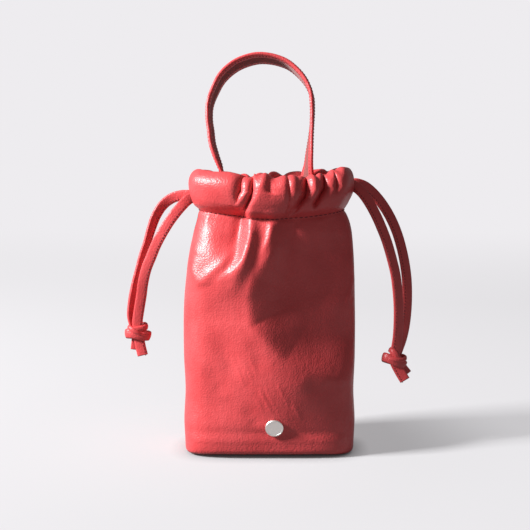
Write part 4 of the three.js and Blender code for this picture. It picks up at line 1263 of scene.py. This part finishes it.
def finish_of(kind):
    """A material, made once."""
    sizes, colours = bpy.context.scene.pouch_sizes, bpy.context.scene.pouch_colours
    makers = {
        "grain": lambda: grain_leather(sizes, colours),
        "flesh": lambda: flesh_leather(sizes, colours),
        "thread": lambda: waxed_thread(colours),
        "metal": lambda: nickel_plate(colours),
    }
    if kind not in finishes:
        finishes[kind] = makers[kind]()
    return finishes[kind]


# The camera, the window and the floor, in metres, degrees and watts
CAMERA_PLACE = (-3.4 * MM, -936 * MM, 278 * MM)
CAMERA_PITCH = 8.27
CAMERA_LENS = 85
CAMERA_SENSOR = 36
FLOOR_REACH = 6.0
WINDOW_WAY = (-0.838, -0.258, 0.50)
WINDOW_DISTANCE = 1.7
WINDOW_SIZE = 0.3
WINDOW_POWER = 69.0
LIT_PLACE = (0, 0, 0.13)  # what the window's light is turned to
FILL = 0.12  # strength of the world on the pouch
BOARD_ROUGHNESS = 0.6
DIM_BOARD = (0.2, 0.2, 0.2)  # the floor that the pouch sees
# Painted contact shadow: close to the pouch the floor's glow is dimmed by ambient occlusion
CONTACT_SHADE_REACH = 14 * MM  # how close to the pouch the floor's glow is dimmed
# The share of glow in the floor, over the place behind the pouch and over the distance from it; the
# share that rises with the distance paints the pouch's shadow paler away from it
GLOW_BEHIND = ((-0.1, 1.5), (0.4, 1.0))
GLOW_PALER_SHADOW = ((0.09, 0.22), (0.4, 0.66))
FLOOR_IN_GLOSS = 0.55  # strength of the floor and of the backdrop in reflections
ROOM_IN_GLOSS = 0.2


class POUCH_OT_stage(bpy.types.Operator):
    """Adds the floor, the backdrop, the light and the camera"""

    bl_idname = "pouch.stage"
    bl_label = "Stage"

    def execute(self, context):
        self.add_camera(context.scene)
        self.add_floor(context.scene)
        self.add_window(context.scene)
        self.add_world(context.scene)
        context.scene.view_settings.view_transform = "Standard"
        return {"FINISHED"}

    def add_camera(self, scene):
        """The camera that the photo was taken with, as far as it can be worked out."""
        camera = bpy.data.cameras.new("camera")
        camera.lens = CAMERA_LENS
        camera.sensor_width = CAMERA_SENSOR
        eye = bpy.data.objects.new("camera", camera)
        eye.location = CAMERA_PLACE
        eye.rotation_euler = (math.radians(90 - CAMERA_PITCH), 0, 0)
        scene.collection.objects.link(eye)
        scene.camera = eye

    def add_floor(self, scene):
        """The floor, which belongs to the picture and not to the pouch."""
        size = FLOOR_REACH
        mesh = bpy.data.meshes.new("floor")
        corners = [(-size, -size, 0), (size, -size, 0), (size, size, 0), (-size, size, 0)]
        mesh.from_pydata(corners, [], [(0, 1, 2, 3)])
        floor = bpy.data.objects.new("floor", mesh)
        scene.collection.objects.link(floor)
        mesh.materials.append(self.floor_material(scene.pouch_colours))

    def floor_material(self, colours):
        """Matt painted board that fades into the backdrop behind the pouch. The camera sees it
        partly glowing, which keeps its shadow pale, and the pouch sees it dim."""
        material, tree = new_material("matt_painted_board")
        seen, dim = [
            add_node(
                tree, "ShaderNodeBsdfDiffuse",
                {"Color": (*colour, 1), "Roughness": BOARD_ROUGHNESS},
            ).outputs[0]
            for colour in (colours.floor, DIM_BOARD)
        ]
        # Painted contact shadow: the glow is dimmed by ambient occlusion where the floor is close to
        # the pouch
        near = add_node(tree, "ShaderNodeAmbientOcclusion", {"Distance": CONTACT_SHADE_REACH})
        glow = add_node(
            tree, "ShaderNodeEmission", {"Color": (*colours.backdrop, 1)},
            {"Strength": near.outputs["AO"]},
        )
        spot = add_node(tree, "ShaderNodeTexCoord").outputs["Object"]
        place = add_node(tree, "ShaderNodeSeparateXYZ", None, {"Vector": spot})
        away = add_node(tree, "ShaderNodeVectorMath", None, {0: spot}, operation="LENGTH")
        behind = ramp(tree, place.outputs["Y"], *GLOW_BEHIND, interpolation_type="SMOOTHSTEP")
        # Painted light: the glow grows away from the pouch, so its shadow is painted paler there
        paler_shadow = ramp(tree, away.outputs["Value"], *GLOW_PALER_SHADOW, interpolation_type="SMOOTHSTEP")
        share = add_node(
            tree, "ShaderNodeMath", None, {0: behind, 1: paler_shadow}, operation="MAXIMUM"
        )
        board = mixed(tree, share.outputs[0], seen, glow.outputs[0])
        rays = add_node(tree, "ShaderNodeLightPath").outputs
        shown = seen_share(tree, rays, rays["Is Camera Ray"], FLOOR_IN_GLOSS)
        surface = mixed(tree, shown, dim, board)
        add_node(tree, "ShaderNodeOutputMaterial", None, {"Surface": surface})
        return material

    def add_window(self, scene):
        """The one light, a window to the left."""
        lamp = bpy.data.lights.new("window", "AREA")
        lamp.shape = "SQUARE"
        lamp.size = WINDOW_SIZE
        lamp.energy = WINDOW_POWER
        light = bpy.data.objects.new("window", lamp)
        way = Vector(WINDOW_WAY).normalized()
        light.location = Vector(LIT_PLACE) + way * WINDOW_DISTANCE
        light.rotation_euler = way.to_track_quat("Z", "Y").to_euler()
        scene.collection.objects.link(light)

    def add_world(self, scene):
        """The backdrop that the camera sees, and a weak fill on the pouch."""
        world = bpy.data.worlds.new("world")
        world.use_nodes = True
        tree = world.node_tree
        tree.nodes.clear()
        backdrop = (*scene.pouch_colours.backdrop, 1)
        seen = add_node(tree, "ShaderNodeBackground", {"Color": backdrop, "Strength": 1.0})
        fill = add_node(tree, "ShaderNodeBackground", {"Color": (1, 1, 1, 1), "Strength": FILL})
        rays = add_node(tree, "ShaderNodeLightPath").outputs
        seen_by = add_node(
            tree, "ShaderNodeMath", None,
            {0: rays["Is Camera Ray"], 1: rays["Is Transmission Ray"]}, operation="MAXIMUM",
        )
        # The metal sees the pale room too, but weakly, which keeps the leather's dark folds clear
        shown = seen_share(tree, rays, seen_by.outputs[0], ROOM_IN_GLOSS)
        surface = mixed(tree, shown, fill.outputs[0], seen.outputs[0])
        add_node(tree, "ShaderNodeOutputWorld", None, {"Surface": surface})
        scene.world = world


class POUCH_OT_drawstrings(bpy.types.Operator):
    """Adds the strands, their knots and their runs through the casings"""

    bl_idname = "pouch.drawstrings"
    bl_label = "Drawstrings"

    def execute(self, context):
        knots = {}
        for side, knot in (("left", LEFT_KNOT), ("right", RIGHT_KNOT)):
            points, faces = knot_mesh(knot)
            knots[side] = make_piece(knot["name"], points, faces, [finish_of("grain")])
        self.add_strands(knots)
        self.add_runs()
        for side, knot in knots.items():
            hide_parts(side + "_drawstring")
        return {"FINISHED"}

    def add_strands(self, knots):
        """The free strands, each a cord that ends in its side's knot."""
        section = strip_section(STRAND_WIDTH, CORD_THICKNESS, bluff=STRAND_BLUFF)
        for name, route, turns, _ in STRANDS:
            side = name.split("_")[0]
            line, widths = strand_frame(route, turns)
            points, faces = sweep(line, widths, section)
            piece = make_piece(name, points, faces, [finish_of("grain")])
            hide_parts(side + "_drawstring")

    def add_runs(self):
        """The drawstrings' runs through the casings, with their closed ends."""
        section = strip_section(CORD_WIDTH, CORD_THICKNESS)
        for side, rise, sign in (("left", LOW_CORD_RISE, 1), ("right", HIGH_CORD_RISE, -1)):
            line = casing_run(SEAM_HEIGHT + rise, sign)
            widths = np.tile([0.0, 0.0, 1.0], (len(line), 1))
            points, faces = sweep(line, widths, section)
            name = side + "_drawstring_run"
            piece = make_piece(name, points, faces, [finish_of("grain")])
            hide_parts(side + "_drawstring")


class POUCH_OT_panels(bpy.types.Operator):
    """Adds the front and the back panel with their gathered casings"""

    bl_idname = "pouch.panels"
    bl_label = "Panels"

    def execute(self, context):
        for panel in (FRONT, BACK):
            points, faces, flesh = panel_mesh(panel)
            materials = [finish_of("grain"), finish_of("flesh")]
            name = panel["name"].replace("panel", "leather")
            piece = make_piece(name, points, faces, materials, flesh)
            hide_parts(panel["name"])
        return {"FINISHED"}


class POUCH_OT_strap(bpy.types.Operator):
    """Adds the folded strap handle"""

    bl_idname = "pouch.strap"
    bl_label = "Strap"

    def execute(self, context):
        line, widths = strap_frame()
        section = strip_section(STRAP_WIDTH, STRAP_THICKNESS, 0.3, edge=6, flat=14)
        points, faces = sweep(line, widths, section)
        # The section's points with x under 0 face in, under the arch: the flesh side shows there
        # between the two turned and sewn margins, and at the two cut ends
        after = np.roll(section, -1, axis=0)
        inner_face = (section[:, 0] < -0.2) & (after[:, 0] < -0.2)
        between = np.abs(section[:, 1] + after[:, 1]) / 2 < STRAP_WIDTH / 2 - STRAP_MARGIN
        which = (inner_face & between).astype(int).tolist() * (STRAP_STEPS - 1) + [1, 1]
        piece = make_piece(
            "handle_strap", points, faces, [finish_of("grain"), finish_of("flesh")],
            which,
        )
        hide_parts("handle")
        return {"FINISHED"}


class POUCH_OT_stud(bpy.types.Operator):
    """Gives the stud and its washer their plating"""

    bl_idname = "pouch.stud"
    bl_label = "Stud"

    def execute(self, context):
        for name in ("stud", "stud_washer"):
            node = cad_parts[name]
            node.data.materials.clear()
            node.data.materials.append(finish_of("metal"))
        return {"FINISHED"}


# The stitches, in mm: how far the thread lies off the leather, how far a row lies inside its
# edge, and how long a stitch is
CASING_THREAD_OFF = 0.35
STRAP_THREAD_OFF = 0.15
CORD_THREAD_OFF = 0.2
STRAP_SEWN_INSET = 2.6
CORD_SEWN_INSET = 1.7
CASING_STITCH = 2.9
STRAP_STITCH = 1.6
CORD_STITCH = 1.5
CASING_THREAD = 1.25  # the casing's and the drawstrings' thread, over the strap's
CORD_THREAD = 1.2


def casing_stitch_lines():
    """The stitch lines under the casings, in their grooves."""
    u = np.linspace(0.01, 0.99, 260)
    lines = []
    for panel in (FRONT, BACK):
        m = Middle(u, stitch_height(u))
        level = casing_level(panel, m, True) - STITCH_GROOVE[0] + CASING_THREAD_OFF
        m.sink(hollow_depth(panel, m))
        lines.append(m.off(panel["side"], level))
    return lines


def strap_stitch_lines():
    """The strap's stitch lines: one inside each edge, on both of its faces."""
    line, widths = strap_frame()
    along = unit(np.gradient(line, axis=0))
    widths = unit(widths - (widths * along).sum(axis=1, keepdims=True) * along)
    through = np.cross(along, widths)
    inset = STRAP_WIDTH / 2 - STRAP_SEWN_INSET
    level = STRAP_THICKNESS / 2 + STRAP_THREAD_OFF
    return [line + widths * s * inset + through * f * level for s in (-1, 1) for f in (-1, 1)]


def cord_stitch_lines():
    """The strands' stitch lines: one inside the sewn edge, on both faces."""
    inset = STRAND_WIDTH / 2 - CORD_SEWN_INSET
    level = CORD_THICKNESS / 2 + CORD_THREAD_OFF
    lines = []
    for _, route, turns, edge in STRANDS:
        line, widths = strand_frame(route, turns)
        through = np.cross(unit(np.gradient(line, axis=0)), widths)
        lines += [line + widths * edge * inset + through * face * level for face in (-1, 1)]
    return lines


class POUCH_OT_stitching(bpy.types.Operator):
    """Sews the casings, the strap and the drawstrings"""

    bl_idname = "pouch.stitching"
    bl_label = "Stitching"

    def execute(self, context):
        sizes = context.scene.pouch_sizes
        thread = finish_of("thread")
        stitch_row(
            "casing_stitches", casing_stitch_lines(), sizes.casing_pitch, CASING_STITCH * MM,
            sizes.thread * CASING_THREAD, thread, 11,
        )
        stitch_row(
            "strap_stitches", strap_stitch_lines(), sizes.strap_pitch, STRAP_STITCH * MM,
            sizes.thread, thread, 23,
        )
        stitch_row(
            "cord_stitches", cord_stitch_lines(), sizes.cord_pitch, CORD_STITCH * MM,
            sizes.thread * CORD_THREAD, thread, 37,
        )
        return {"FINISHED"}


class POUCH_PT_panel(bpy.types.Panel):
    """Lists the pouch's operators and settings"""

    bl_idname = "POUCH_PT_panel"
    bl_label = "Drawstring pouch"
    bl_space_type = "VIEW_3D"
    bl_region_type = "UI"
    bl_category = "Pouch"

    def draw(self, context):
        for operator in OPERATORS:
            self.layout.operator(operator.bl_idname)
        for group in (context.scene.pouch_sizes, context.scene.pouch_colours):
            column = self.layout.column()
            for name in group.__annotations__:
                column.prop(group, name)


OPERATORS = (
    POUCH_OT_stage, POUCH_OT_drawstrings, POUCH_OT_strap, POUCH_OT_panels, POUCH_OT_stud,
    POUCH_OT_stitching,
)
CLASSES = (PouchSizes, PouchColours, *OPERATORS, POUCH_PT_panel)


def register():
    """Adds the pouch's settings, operators and panel."""
    for cls in CLASSES:
        bpy.utils.register_class(cls)
    bpy.types.Scene.pouch_sizes = bpy.props.PointerProperty(type=PouchSizes)
    bpy.types.Scene.pouch_colours = bpy.props.PointerProperty(type=PouchColours)


def unregister():
    """Takes away all that register adds."""
    del bpy.types.Scene.pouch_colours
    del bpy.types.Scene.pouch_sizes
    for cls in reversed(CLASSES):
        bpy.utils.unregister_class(cls)


def main():
    """Runs every operator."""
    register()
    for operator in OPERATORS:
        group, name = operator.bl_idname.split(".")
        getattr(getattr(bpy.ops, group), name)()


if __name__ == "__main__":
    main()
